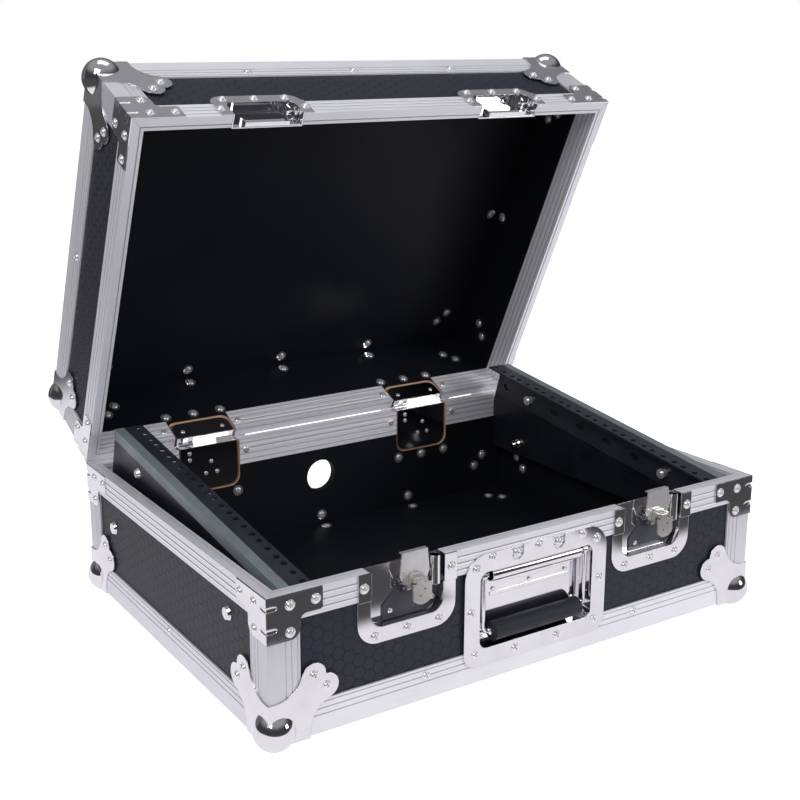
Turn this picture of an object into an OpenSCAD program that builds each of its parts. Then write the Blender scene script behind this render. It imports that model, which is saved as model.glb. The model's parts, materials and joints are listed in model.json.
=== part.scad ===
// Road case for a slant-mounted rack mixer, shown open on its stays.
// Base frame: X to the right, Y from the front face to the rear face, Z up from the floor under the balls.
// The lid is drawn in its own closed position above the rim plane, then turned open about the hinge pins.

/* [Case] */

// Outside width over the aluminium edges
case_width = 552; // [548:1:600]
// Outside depth over the aluminium edges
case_depth = 397; // [397:1:440]
// Height of the base from its bottom face to the rim
base_height = 131; // [131:1:160]
// Height of the lid from the rim plane to its top face
lid_height = 110.5; // [104:0.5:140]
// How far the lid stands open, measured from closed
lid_open_angle = 65; // [60:1:80]
// Air gap between the two rims with the lid closed
rim_gap = 0.4; // [0.2:0.1:0.8]

/* [Panels and edges] */

// Thickness of the plywood panels
panel_thickness = 9; // [8.8:0.1:9.4]
// Thickness of the aluminium edges
edge_thickness = 1.8; // [1.6:0.1:2]
// Leg length of the edge and corner angles
edge_leg = 30; // [28:0.5:32]
// Height of the outer leg of the rim channel
rim_outer_height = 24; // [22:0.5:26]
// Height of the inner leg of the rim channel
rim_inner_height = 28.6; // [26:0.2:30]

/* [Corner hardware] */

// Radius of the ball on each corner
ball_radius = 18.5; // [18:0.1:19]
// Distance from each outside face to the ball centre
ball_inset = 9.8; // [9.4:0.1:10.2]
// Thickness of the pressed steel fittings
sheet = 1.2; // [1:0.1:1.4]
// Length of the horizontal leg of a rim brace
brace_length = 51; // [49:0.5:54]
// Length of the vertical leg of a rim brace
brace_drop = 40; // [38:0.5:44]
// Radius of a rivet head
rivet_head = 4.6; // [4.2:0.1:5]

/* [Latches, keepers and hinges] */

// Distance between the centres of the two latches, and of the two hinges
fitting_spacing = 282; // [276:1:300]
// Half width of the latch recess
latch_half_width = 37; // [36:0.5:38]
// Depth of the latch recess below the rim
latch_drop = 51.5; // [50:0.5:54]
// Width of the latch tongue
tongue_width = 26; // [24:0.5:27]
// Half width of the hinge recess
hinge_half_width = 32.8; // [32:0.2:33.4]
// Distance from the rear face back to the hinge pin
hinge_setback = 1; // [0.8:0.1:1.2]
// Radius of the hinge pin
hinge_pin_radius = 2; // [1.8:0.1:2.2]

/* [Handle] */

// Half width of the handle recess
handle_half_width = 65; // [64:0.5:66]
// Length of the rubber grip
grip_length = 100; // [92:1:102]
// Radius of the rubber grip
grip_radius = 8.8; // [8:0.1:9]

/* [Rack rails] */

// Rack units along each rail
rack_units = 8; // [6:1:8]
// Slope of the rails
rail_slope = 7.17; // [6.5:0.01:7.3]
// Distance between the two rows of rack holes
rack_hole_spacing = 465.1; // [464.6:0.1:465.6]
// Radius of a rack hole
rack_hole_radius = 3.2; // [2.8:0.1:3.4]
// Height of the rear end of the rails above the rim
rail_rise = 42.2; // [41:0.2:46]
// Thickness of the rail steel
rail_thickness = 2; // [1.6:0.1:2.2]
// Thickness of the side boards
board_thickness = 9; // [8:0.2:9.4]
// Diameter of the cable hole in the rear panel
cable_hole_diameter = 37; // [30:1:44]

/* [Hidden] */

$fn = 48;
eps = 0.01;

// Frame of the part: middle of the open case's outline, on the floor
foot_height = ball_radius - ball_inset;
hinge_y = case_depth + hinge_setback;
lid_ball_y = case_depth - ball_inset - hinge_y;
lid_ball_z = lid_height - ball_inset;
rear_reach = hinge_y + lid_ball_y * cos(lid_open_angle) + lid_ball_z * sin(lid_open_angle) + ball_radius;
origin_y = (rear_reach - foot_height) / 2;

// Walls, measured inwards from an outside face
half_w = case_width / 2;
half_d = case_depth / 2;
wall_out = edge_thickness;
wall_in = edge_thickness + panel_thickness;
rim_inner_sheet = 1.2;
rim_width = wall_in + rim_inner_sheet;
lid_shell = lid_height - rim_gap;
groove_wide = 0.9;
groove_deep = 0.4;
mitre_gap = 0.1;

// Rivets
shank_radius = 2;
shank_hole = 2.3;
blind_depth = 6.5;
washer_radius = 6;
washer_thickness = 1;
small_head = 2.4;
small_shank = 1.4;

// Ball corner outline, measured along each face from the corner
lobe_near = 42;
lobe_far = 54;
lobe_radius = 11.2;
web_reach = 38;
web_centre = 5.5;
web_radius = 26.5;

// Positions of the rivets along the edges
mid_rivet_x = 122;
mid_rivet_inset = 21.8;

// Rim braces
brace_height = 19.5;
brace_rivet_near = 20.6;
brace_rivet_far = 44.5;
brace_rivet_drop = 9.5;
brace_rivet_low = 33;
brace_foot_radius = 9.5;

// Recessed fittings, with the distance from the rim plane called drop
fitting_x = fitting_spacing / 2;
tab_rivet_x = 44.5;
tab_rivet_drop = 12.5;
row_rivet_x = 33;
latch_depth = 10;
latch_flange_half = 50;
latch_flange_drop = 65.5;
latch_row_drop = 59;
latch_corner = 12;
latch_flange_corner = 20;
keeper_depth = 12.2;
keeper_half_width = 36;
keeper_drop = 26.5;
keeper_flange_half = 48;
keeper_flange_drop = 39.5;
keeper_row_drop = 34.2;
hinge_depth = 9;
hinge_drop = 49;
hinge_flange_half = 50;
hinge_flange_drop = 65.5;
hinge_row_drop = 58.7;
hinge_lid_drop = 22.5;
hinge_lid_flange_drop = 42;
hinge_lid_row_drop = 35.8;
hinge_cut_half = 36.5;
hinge_cut_drop = 52;
hinge_lid_cut_drop = 26;
notch_clearance = 0.3;

// Latch parts, with x from the latch centre
boss_x = 7.5;
boss_drop = 17;
boss_half = 7;
boss_back = 0.5;
boss_front = -3.4;
boss_shaft = 3;
wing_x = 2;
wing_pin_y = -5.8;
wing_pin_height = 2.9;
wing_pin_radius = 1.1;
wing_knuckle_radius = 2.1;
wing_width = 19;
wing_length = 19;
wing_thickness = 1.8;
tongue_front = 1;
tongue_sheet = 1.4;
tongue_pivot_y = 3.2;
tongue_pivot_drop = 24;
tongue_top = 9;
tongue_lip = 4.8;
tongue_knuckle_half = 7.8;
tongue_knuckle_radius = 2;
tongue_pin_radius = 1.1;
lug_gap = 0.6;
lug_sheet = 1.4;
lug_radius = 2.4;
catch_gap = 1.6;
tongue_low_extra = 2;
tube_x = 30.2;
tube_y = 4.4;
tube_radius = 5.1;
tube_length = 26;
running_gap = 0.05;
backplate_spots = [[-12.7, -43.4], [31.3, -40.9]];

// Hinges, with x from the hinge centre
knuckle_radius = 3.5;
knuckle_gap = 0.5;
knuckle_low = -32;
knuckle_mid = -26.5;
knuckle_next = -20.5;
knuckle_high = -15;
leaf_spots = [[-23.5, -6.8], [-23.5, -14]];
stay_spots = [[2, -19], [-4.8, -32], [8.7, -32]];

// Handle, with height from the rim plane
handle_flange_half = 82;
handle_top_drop = 9.5;
handle_flange_height = 106.5;
handle_cavity_top = 27;
handle_cavity_bottom = 99.6;
handle_depth = 11;
handle_corner = 8;
bail_pivot_y = 4.4;
bail_pivot_drop = 32.8;
bail_rod_radius = 2.5;
bail_ear_radius = 4;
bail_arm_x = 58.6;
bail_arm_width = 7;
bail_arm_thick = 4.4;
bail_bar_radius = 3.4;
bail_bend = 6;
bail_reach = 53.4;
grip_y = 1.6;
cover_rivet_drop = 50.8;
bead_drop = 57;

// Rails and boards
rack_pitch = 44.45;
rack_first = 6.35;
rack_step = 15.875;
rail_length = rack_units * rack_pitch;
rail_rear_inset = 31.7;
rail_outer = rack_hole_spacing / 2 + 13.95;
rail_flange = 20;
rail_web = 38;
rail_rear_y = case_depth - rail_rear_inset;
rail_rear_z = base_height + rail_rise;
slot_first = 16.2;
slot_drop = 24;
slot_length = 12;
slot_width = 6.8;
cap_thickness = 1;
cap_leg = 11;
board_drop = 64;
board_front = rim_width + 0.4;
board_rear = case_depth - 17;
bolt_radius = 2.95;
bolt_hole = 3.3;
board_bolts_at = [[case_depth - 64.5, base_height - 51], [74, base_height - 41.3]];
spacer_radius = 8;
cable_hole_z = base_height - 61;

alu = [0.78, 0.78, 0.80];
laminate = [0.13, 0.13, 0.15];
chrome = [0.82, 0.83, 0.85];
darksteel = [0.22, 0.23, 0.26];
nickel = [0.78, 0.76, 0.71];
rubber = [0.12, 0.12, 0.13];
powder = [0.11, 0.12, 0.14];
bluesteel = [0.45, 0.49, 0.52];

// Placing

// The base stands on its balls
module base_place() {
  translate([0, -origin_y, foot_height]) children();
}

// The lid is turned open about the hinge pins
module lid_place() {
  base_place()
    translate([0, hinge_y, base_height])
      rotate([-lid_open_angle, 0, 0])
        translate([0, -hinge_y, 0]) children();
}

// A box shell is drawn with its closed face down; the lid is one turned over
module lid_shell_place() {
  lid_place() translate([0, 0, lid_height]) rotate([0, 180, 0]) children();
}

// Faces of a shell: 0 front, 1 rear, 2 left, 3 right, 4 closed face; local z points out of the face
module at_face(f) {
  if (f == 0) rotate([90, 0, 0]) children();
  if (f == 1) translate([0, case_depth, 0]) rotate([90, 0, 180]) children();
  if (f == 2) translate([-half_w, half_d, 0]) rotate([90, 0, -90]) children();
  if (f == 3) translate([half_w, half_d, 0]) rotate([90, 0, 90]) children();
  if (f == 4) translate([0, half_d, 0]) rotate([180, 0, 0]) children();
}

function face_half(f) = (f == 0 || f == 1) ? half_w : half_d;

// Local x of the wall rivets that hold the edge angles
function mid_spots(f, with_centre) =
  (f == 0 || f == 1) ? (with_centre ? [-mid_rivet_x, 0, mid_rivet_x] : [-mid_rivet_x, mid_rivet_x]) : [0];

// Rivet spots of the ball corners on a face
function ball_spots(f) = f == 4
  ? [for (sx = [-1, 1], sy = [-1, 1], p = [[lobe_near, lobe_far], [lobe_far, lobe_near]])
      [sx * (half_w - p[0]), sy * (half_d - p[1])]]
  : [for (sx = [-1, 1], p = [[lobe_near, lobe_far], [lobe_far, lobe_near]])
      [sx * (face_half(f) - p[0]), p[1]]];

// Rivet spots of the rim braces on a wall of a shell of the given height
function brace_spots(f, height) = [for (sx = [-1, 1],
    p = [[brace_rivet_near, brace_rivet_drop], [brace_rivet_far, brace_rivet_drop],
         [brace_rivet_near, brace_rivet_low]])
  [sx * (face_half(f) - p[0]), height - p[1]]];

// Rivet spots that hold the edge angles
function edge_spots(f, with_centre) = f == 4
  ? concat([for (x = [-mid_rivet_x, 0, mid_rivet_x], s = [-1, 1]) [x, s * (half_d - mid_rivet_inset)]],
           [for (s = [-1, 1]) [s * (half_w - mid_rivet_inset), 0]])
  : [for (x = mid_spots(f, with_centre)) [x, mid_rivet_inset]];

module drill(spots, deep = 40) {
  for (p = spots) translate([p[0], p[1], -deep]) cylinder(r = shank_hole, h = deep + 10);
}

// Fasteners

// A rivet drawn from the outer surface at z = 0 downwards; grip is the stack it goes through
module through_rivet(grip) {
  rotate_extrude()
    polygon([[0, -grip - 1.6], [2, -grip - 1.6], [3.2, -grip - 1.2], [3.7, -grip - 0.5],
             [3.7, -grip], [shank_radius, -grip], [shank_radius, 0], [rivet_head, 0],
             [rivet_head - 0.3, 0.9], [rivet_head - 1.2, 1.7], [1.6, 2.3], [1, 1.7], [0, 1.7]]);
}

module blind_rivet(grip) {
  rotate_extrude()
    polygon([[0, -grip], [shank_radius, -grip], [shank_radius, 0], [rivet_head, 0],
             [rivet_head - 0.3, 0.9], [rivet_head - 1.2, 1.7], [1.6, 2.3], [1, 1.7], [0, 1.7]]);
}

module small_rivet(grip) {
  rotate_extrude()
    polygon([[0, -grip - 0.8], [1.6, -grip - 0.8], [small_head, -grip],
             [small_shank, -grip], [small_shank, 0], [small_head, 0], [2, 0.8],
             [1.2, 1.2], [0, 1.2]]);
}

module small_drill(x, z) {
  translate([x, 0, z]) rotate([90, 0, 0]) cylinder(r = small_shank + 0.3, h = 60, center = true);
}

module washer_at(spots) {
  for (p = spots)
    translate([p[0], p[1], -wall_in - washer_thickness])
      difference() {
        cylinder(r = washer_radius, h = washer_thickness);
        translate([0, 0, -1]) cylinder(r = shank_hole, h = washer_thickness + 2);
      }
}

// Shell pieces, used by the base and by the lid

// Shape with two rounded corners at its far end
module round_end(half, from, to, r) {
  translate([-half, from]) square([2 * half, to - r - from]);
  translate([-half + r, from]) square([2 * (half - r), to - from]);
  for (s = [-1, 1]) translate([s * (half - r), to - r]) circle(r = r);
}

// Cross-section of an edge angle: x inwards on the closed face, y up the wall
module angle_profile() {
  difference() {
    union() {
      square([edge_thickness, edge_leg]);
      square([edge_leg, edge_thickness]);
    }
    for (g = [edge_leg - 13.5, edge_leg - 8, edge_leg - 2.5]) {
      translate([-eps, g - groove_wide / 2]) square([groove_deep + eps, groove_wide]);
      translate([g - groove_wide / 2, -eps]) square([groove_wide, groove_deep + eps]);
    }
  }
}

// Cross-section of the rim channel: x inwards, y up to the rim plane at zero
module rim_profile(line) {
  difference() {
    union() {
      translate([0, -rim_outer_height]) square([edge_thickness, rim_outer_height]);
      translate([0, -edge_thickness]) square([rim_width, edge_thickness]);
      translate([wall_in, -rim_inner_height]) square([rim_inner_sheet, rim_inner_height]);
    }
    for (g = [6.5, 12.5, 18.5])
      translate([-eps, -g - groove_wide / 2]) square([groove_deep + eps, groove_wide]);
    for (g = [7, 12, 17, 22])
      translate([rim_width - groove_deep, -g - groove_wide / 2]) square([groove_deep + eps, groove_wide]);
    translate([line, -0.6]) square([groove_wide, 0.6 + eps]);
  }
}

// Trapezium that mitres a run of the given half length at 45 degrees
module mitre(half, reach) {
  end = half - mitre_gap;
  polygon([[-end, 0], [end, 0], [end - reach, reach], [-end + reach, reach]]);
}

// Edge angle along one side of the closed face, mitred to its neighbours and to the corner angles
module edge_run(half) {
  intersection() {
    translate([-half, 0, 0]) rotate([90, 0, 90]) linear_extrude(2 * half) angle_profile();
    linear_extrude(edge_leg + 5) mitre(half, edge_leg + 5);
    translate([0, edge_leg + 5, 0]) rotate([90, 0, 0])
      linear_extrude(edge_leg + 5) mitre(half, edge_leg + 5);
  }
}

module side_run(f) {
  if (f == 0) children();
  if (f == 1) translate([0, case_depth, 0]) rotate([0, 0, 180]) children();
  if (f == 2) translate([-half_w, half_d, 0]) rotate([0, 0, -90]) children();
  if (f == 3) translate([half_w, half_d, 0]) rotate([0, 0, 90]) children();
}

module shell_edges(with_centre) {
  for (f = [0:3])
    difference() {
      side_run(f) edge_run(face_half(f));
      at_face(f) drill(edge_spots(f, with_centre || f > 0));
      at_face(4) drill(edge_spots(4, true));
      if (f == 0 && !with_centre) at_face(0) drill(handle_low_spots());
    }
}

// Corner angle, mitred at the closed face and cut square under the rim
module corner_run(height) {
  intersection() {
    linear_extrude(height - rim_outer_height) angle_profile();
    rotate([90, 0, 90]) linear_extrude(edge_leg + 5)
      polygon([[0, 0], [edge_leg + 5, edge_leg + 5], [edge_leg + 5, height], [0, height]]);
    translate([0, edge_leg + 5, 0]) rotate([90, 0, 0]) linear_extrude(edge_leg + 5)
      polygon([[0, 0], [edge_leg + 5, edge_leg + 5], [edge_leg + 5, height], [0, height]]);
  }
}

// Puts a piece drawn at the front left corner on all four corners
module four_corners() {
  for (mx = [0, 1], my = [0, 1])
    translate([0, half_d, 0])
      mirror([mx, 0, 0]) mirror([0, my, 0])
        translate([-half_w, -half_d, 0]) children();
}

module shell_corner_edges(height) {
  difference() {
    four_corners() corner_run(height);
    for (f = [0:3]) at_face(f) drill(brace_spots(f, height), blind_depth);
  }
}

module rim_run(f, height, line) {
  reach = 25;
  intersection() {
    side_run(f)
      translate([-face_half(f), 0, height]) rotate([90, 0, 90])
        linear_extrude(2 * face_half(f)) rim_profile(line);
    side_run(f)
      translate([0, 0, height - 40]) linear_extrude(50) mitre(face_half(f), reach);
  }
}

module shell_rim(f, height, line) {
  difference() {
    rim_run(f, height, line);
    at_face(f) drill(brace_spots(f, height), blind_depth);
  }
}

// One leg of a ball corner, flat, with its corner at the origin
module ball_leg_outline() {
  difference() {
    polygon([[-sheet, -sheet], [web_reach, -sheet], [web_reach, web_centre], [58, 31.5],
             [lobe_far, lobe_near], [lobe_near, lobe_far], [31.5, 58], [web_centre, web_reach],
             [-sheet, web_reach]]);
    translate([web_centre, web_centre + 59]) circle(r = web_radius);
    translate([web_centre + 59, web_centre]) circle(r = web_radius);
  }
  translate([lobe_near, lobe_far]) circle(r = lobe_radius);
  translate([lobe_far, lobe_near]) circle(r = lobe_radius);
}

module ball_leg() {
  linear_extrude(sheet) ball_leg_outline();
  for (p = [[lobe_near, lobe_far], [lobe_far, lobe_near]])
    translate([p[0], p[1], -edge_thickness]) cylinder(r = 6.5, h = edge_thickness + eps);
}

module ball_leg_holes() {
  for (p = [[lobe_near, lobe_far], [lobe_far, lobe_near]])
    translate([p[0], p[1], -10]) cylinder(r = shank_hole, h = 20);
}

// Pressed ball corner at the front left corner of the closed face
module ball_corner() {
  difference() {
    union() {
      difference() {
        translate([ball_inset, ball_inset, ball_inset]) sphere(r = ball_radius);
        cube(60);
      }
      rotate([90, 0, 0]) ball_leg();
      rotate([90, 0, 90]) mirror([0, 0, 1]) ball_leg();
      mirror([0, 0, 1]) ball_leg();
    }
    translate([ball_inset, ball_inset, ball_inset]) sphere(r = ball_radius - sheet);
    rotate([90, 0, 0]) ball_leg_holes();
    rotate([90, 0, 90]) ball_leg_holes();
    ball_leg_holes();
  }
}

module shell_ball_corners() {
  four_corners() ball_corner();
}

// One leg of a rim brace, flat, with the rim along y = 0 and the case edge along x = 0
module brace_outline() {
  low = brace_drop - brace_foot_radius;
  difference() {
    union() {
      translate([-sheet, -brace_height]) square([brace_length + sheet - 3, brace_height]);
      translate([brace_length - 3 - eps, -brace_height + 3]) square([3 + eps, brace_height - 3]);
      translate([brace_length - 3, -brace_height + 3]) circle(r = 3);
      translate([-sheet, -low]) square([brace_rivet_near + brace_foot_radius + sheet, low]);
      translate([brace_rivet_near, -low]) circle(r = brace_foot_radius);
      translate([-sheet, -brace_drop]) square([brace_rivet_near + sheet, brace_drop]);
      translate([brace_rivet_near, -brace_height - 6]) square([brace_foot_radius + 6, 6 + eps]);
    }
    translate([brace_rivet_near + brace_foot_radius + 6, -brace_height - 6]) circle(r = 6);
  }
}

module brace(height) {
  difference() {
    union() {
      translate([0, 0, height]) rotate([90, 0, 0]) linear_extrude(sheet) brace_outline();
      translate([0, 0, height]) rotate([90, 0, 90]) mirror([0, 0, 1]) linear_extrude(sheet) brace_outline();
    }
    for (p = [[brace_rivet_near, brace_rivet_drop], [brace_rivet_far, brace_rivet_drop],
              [brace_rivet_near, brace_rivet_low]]) {
      translate([p[0], 0, height - p[1]]) rotate([90, 0, 0]) cylinder(r = shank_hole, h = 8, center = true);
      translate([0, p[0], height - p[1]]) rotate([0, 90, 0]) cylinder(r = shank_hole, h = 8, center = true);
    }
  }
}

// Panels of a shell before their cut-outs
module shell_end_panel(height, f) {
  difference() {
    translate([-half_w + wall_out, f == 0 ? wall_out : case_depth - wall_in, wall_out])
      cube([case_width - 2 * wall_out, panel_thickness, height - wall_out - edge_thickness]);
    at_face(f) drill(ball_spots(f));
    at_face(f) drill(brace_spots(f, height), blind_depth);
  }
}

module shell_side_panel(height, f) {
  difference() {
    translate([f == 2 ? -half_w + wall_out : half_w - wall_in, wall_in, wall_out])
      cube([panel_thickness, case_depth - 2 * wall_in, height - wall_out - edge_thickness]);
    at_face(f) drill(ball_spots(f));
    at_face(f) drill(edge_spots(f, true));
    at_face(f) drill(brace_spots(f, height), blind_depth);
  }
}

module shell_closed_panel() {
  difference() {
    translate([-half_w + wall_in, wall_in, wall_out])
      cube([case_width - 2 * wall_in, case_depth - 2 * wall_in, panel_thickness]);
    at_face(4) drill(ball_spots(4));
    at_face(4) drill(edge_spots(4, true));
  }
}

module shell_rivets(height, with_centre) {
  for (f = [0:3]) at_face(f) {
    for (p = ball_spots(f))
      translate([p[0], p[1], sheet]) through_rivet(sheet + wall_in + washer_thickness);
    for (p = edge_spots(f, with_centre || f > 0))
      translate([p[0], p[1], 0]) through_rivet(wall_in + washer_thickness);
    for (p = brace_spots(f, height))
      translate([p[0], p[1], sheet]) blind_rivet(sheet + blind_depth - 0.3);
  }
  at_face(4) {
    for (p = ball_spots(4))
      translate([p[0], p[1], sheet]) through_rivet(sheet + wall_in + washer_thickness);
    for (p = edge_spots(4, true))
      translate([p[0], p[1], 0]) through_rivet(wall_in + washer_thickness);
  }
}

module shell_washers(with_centre) {
  for (f = [0:3]) at_face(f) {
    washer_at(ball_spots(f));
    washer_at(edge_spots(f, with_centre || f > 0));
  }
  at_face(4) {
    washer_at(ball_spots(4));
    washer_at(edge_spots(4, true));
  }
}

// Recessed dishes, drawn with x along the wall, y inwards from the outside face, z away from the rim

module rim_fitting(f, x) {
  if (f == "base_front") translate([x, 0, base_height]) mirror([0, 0, 1]) children();
  if (f == "base_rear") translate([x, case_depth, base_height]) rotate([180, 0, 0]) children();
  if (f == "lid_front") translate([x, 0, rim_gap]) children();
  if (f == "lid_rear") translate([x, case_depth, rim_gap]) mirror([0, 1, 0]) children();
}

module wall_slab(from, to) {
  translate([0, to, 0]) rotate([90, 0, 0]) linear_extrude(to - from) children();
}

module dish(half, drop, depth, corner, flange_half, flange_drop, flange_corner, row_drop) {
  difference() {
    union() {
      // Cup
      wall_slab(edge_thickness - sheet, depth + sheet)
        round_end(half + sheet, 0, drop + sheet, corner + sheet);
      wall_slab(-sheet, edge_thickness) translate([-half - sheet, 0])
        square([2 * (half + sheet), rim_outer_height + sheet]);
      // Flange on the panel
      wall_slab(edge_thickness - sheet, edge_thickness)
        difference() {
          round_end(flange_half, 0, flange_drop, flange_corner);
          translate([-flange_half - 1, -1]) square([2 * flange_half + 2, rim_outer_height + 1]);
        }
      // Tabs on the rim, joggled down to the flange
      for (s = [0, 1]) mirror([s, 0, 0]) {
        translate([half, -sheet, 0]) cube([flange_half - half, sheet, rim_outer_height + sheet]);
        translate([half, -sheet, rim_outer_height])
          cube([flange_half - half, edge_thickness + sheet, sheet]);
      }
    }
    wall_slab(-20, depth) round_end(half, -20, drop, corner);
    for (x = [-row_rivet_x, 0, row_rivet_x])
      translate([x, 0, row_drop]) rotate([90, 0, 0]) cylinder(r = shank_hole, h = 8, center = true);
    for (x = [-tab_rivet_x, tab_rivet_x])
      translate([x, 0, tab_rivet_drop]) rotate([90, 0, 0]) cylinder(r = shank_hole, h = 8, center = true);
  }
}

// Hole in a panel for a dish, and the notch in the rim above it
module dish_cut(half, drop, corner) {
  wall_slab(-5, 20) round_end(half, -5, drop, corner);
}

module dish_holes(row_drop) {
  for (x = [-row_rivet_x, 0, row_rivet_x])
    translate([x, -5, row_drop]) rotate([-90, 0, 0]) cylinder(r = shank_hole, h = 30);
  for (x = [-tab_rivet_x, tab_rivet_x])
    translate([x, -5, tab_rivet_drop]) rotate([-90, 0, 0]) cylinder(r = shank_hole, h = 30);
}

module dish_rivets(row_drop) {
  for (x = [-row_rivet_x, 0, row_rivet_x])
    translate([x, edge_thickness - sheet, row_drop]) rotate([90, 0, 0])
      through_rivet(sheet + panel_thickness + washer_thickness);
  for (x = [-tab_rivet_x, tab_rivet_x])
    translate([x, -sheet, tab_rivet_drop]) rotate([90, 0, 0])
      through_rivet(sheet + rim_width);
}

module dish_washers(row_drop) {
  for (x = [-row_rivet_x, 0, row_rivet_x])
    translate([x, wall_in, row_drop]) rotate([-90, 0, 0])
      difference() {
        cylinder(r = washer_radius, h = washer_thickness);
        translate([0, 0, -1]) cylinder(r = shank_hole, h = washer_thickness + 2);
      }
}

// Handle rivets on the front face
function handle_low_spots() = [for (s = [-1, 1], p = [[69.5, 103.5], [24.4, 108.5]])
  [s * p[0], base_height - p[1]]];
function handle_side_spots() = [for (s = [-1, 1]) [s * 74.5, base_height - 62.5]];
function handle_top_spots() = [[-69.5, base_height - 22], [69.5, base_height - 22], [-52, base_height - 14],
  [52, base_height - 14], [0, base_height - 14]];
function rim_rivet_spots() = [[-24, base_height - 16], [24, base_height - 16]];

module handle_outline() {
  top = base_height - handle_top_drop;
  low = top - handle_flange_height;
  difference() {
    union() {
      translate([0, low + 60]) round_end(handle_flange_half, 0, top - low - 60, 23);
      translate([0, low + 60 + eps]) mirror([0, 1]) round_end(handle_flange_half, 0, 60, 14);
    }
    for (p = rim_rivet_spots()) {
      translate(p) circle(r = 6.6);
      translate([p[0] - 6.6, p[1]]) square([13.2, 20]);
    }
  }
}

module handle_cavity(grow) {
  translate([0, base_height - handle_cavity_bottom + 30]) {
    round_end(handle_half_width + grow, 0, handle_cavity_bottom - handle_cavity_top - 30 + grow,
              handle_corner + grow);
    translate([0, eps]) mirror([0, 1])
      round_end(handle_half_width + grow, 0, 30 + grow, handle_corner + grow);
  }
}

// Rail frame: x across, minus y down the slope from the rear end, z square to the rail
module rail_place() {
  base_place() translate([0, rail_rear_y, rail_rear_z]) rotate([rail_slope, 0, 0]) children();
}

module slot_shape() {
  run = slot_length - slot_width;
  for (s = [-1, 1]) translate([s * run / 2, 0]) circle(d = slot_width);
  translate([-run / 2, -slot_width / 2]) square([run, slot_width]);
}

module rack_rail() {
  difference() {
    union() {
      translate([rail_outer - rail_flange, -rail_length, -rail_thickness])
        cube([rail_flange, rail_length, rail_thickness]);
      translate([rail_outer - rail_thickness, -rail_length, -rail_web])
        cube([rail_thickness, rail_length, rail_web]);
    }
    for (u = [0:rack_units - 1]) {
      for (k = [0, 1, 2])
        translate([rack_hole_spacing / 2, -rack_first - u * rack_pitch - k * rack_step, -rail_thickness - 1])
          cylinder(r = rack_hole_radius, h = rail_thickness + 2);
      translate([rail_outer - rail_thickness - 1, -slot_first - u * rack_pitch, -slot_drop])
        rotate([90, 0, 90]) linear_extrude(rail_thickness + 2) slot_shape();
    }
  }
}

// Places along the rail, counted in rack units, where bolts hold it to the board
function rail_bolt_units() = [1, rack_units - 2];

function rail_plane_z(y) = rail_rear_z - (rail_rear_y - y) * tan(rail_slope);

module side_board() {
  drop = cap_thickness / cos(rail_slope);
  front_z = rail_plane_z(board_front) - drop;
  base_place()
    difference() {
      translate([rail_outer, 0, 0]) rotate([90, 0, 90]) linear_extrude(board_thickness)
        polygon([[board_front, base_height - board_drop], [board_rear, base_height - board_drop],
                 [board_rear, base_height - 6], [case_depth - 28, base_height + rail_rise - 13],
                 [rail_rear_y, rail_rear_z - drop], [board_front, front_z]]);
      for (p = board_bolts_at)
        translate([rail_outer - 1, p[0], p[1]]) rotate([0, 90, 0]) cylinder(r = bolt_hole, h = 20);
      translate([0, rail_rear_y, rail_rear_z]) rotate([rail_slope, 0, 0])
        for (u = rail_bolt_units())
          translate([rail_outer - 1, -slot_first - u * rack_pitch, -slot_drop])
            rotate([0, 90, 0]) cylinder(r = bolt_hole, h = 20);
    }
}

module board_cap() {
  rail_place()
    translate([0, -rail_length + 1, 0]) {
      translate([rail_outer, 0, -cap_thickness])
        cube([board_thickness + cap_thickness, rail_length - 1, cap_thickness]);
      translate([rail_outer + board_thickness, 0, -cap_leg]) cube([cap_thickness, rail_length - 1, cap_leg]);
    }
}

// Bolt along x with its round head at the outer end
module cross_bolt(inner, outer, head_r, head_h) {
  translate([inner - 7, 0, 0]) rotate([0, 90, 0])
    cylinder(r = bolt_radius, h = outer - inner + 7 + head_h / 2);
  translate([outer, 0, 0]) rotate([0, 90, 0]) cylinder(r1 = head_r, r2 = head_r - 1.6, h = head_h);
}

module nut(inner, nut_r) {
  translate([inner - 5.4, 0, 0]) rotate([0, 90, 0])
    difference() {
      cylinder(r = nut_r, h = 5.4);
      translate([0, 0, -1]) cylinder(r = bolt_radius + running_gap, h = 8);
    }
}

// Latch pieces, drawn with x from the latch centre in the base frame

module latch_place(side) {
  base_place() translate([side * fitting_x, 0, base_height]) children();
}

module tongue() {
  low_half = tongue_width / 2 + tongue_low_extra;
  foot = -tongue_pivot_drop;
  shoulder = foot + lug_radius + 1.6;
  difference() {
    union() {
      translate([boss_x, tongue_front + tongue_sheet, 0]) rotate([90, 0, 0]) linear_extrude(tongue_sheet)
        polygon([[-tongue_width / 2, tongue_top], [tongue_width / 2, tongue_top],
                 [low_half, -boss_drop + 6], [low_half - 4, shoulder], [tongue_knuckle_half, shoulder],
                 [tongue_knuckle_half, foot], [-tongue_knuckle_half, foot], [-tongue_knuckle_half, shoulder],
                 [-low_half + 4, shoulder], [-low_half, -boss_drop + 6]]);
      // Hook lip
      translate([boss_x - tongue_width / 2, tongue_front, tongue_top - tongue_sheet])
        cube([tongue_width, tongue_lip, tongue_sheet]);
      // Rolled knuckle on the pivot pin
      translate([boss_x - tongue_knuckle_half, tongue_pivot_y, foot]) rotate([0, 90, 0])
        cylinder(r = tongue_knuckle_radius, h = 2 * tongue_knuckle_half);
    }
    translate([boss_x, 0, -boss_drop]) rotate([-90, 0, 0]) cylinder(r = boss_shaft + 1.6, h = 10);
    translate([0, tongue_pivot_y, foot]) rotate([0, 90, 0])
      cylinder(r = tongue_pin_radius + running_gap, h = 60, center = true);
  }
}

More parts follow.
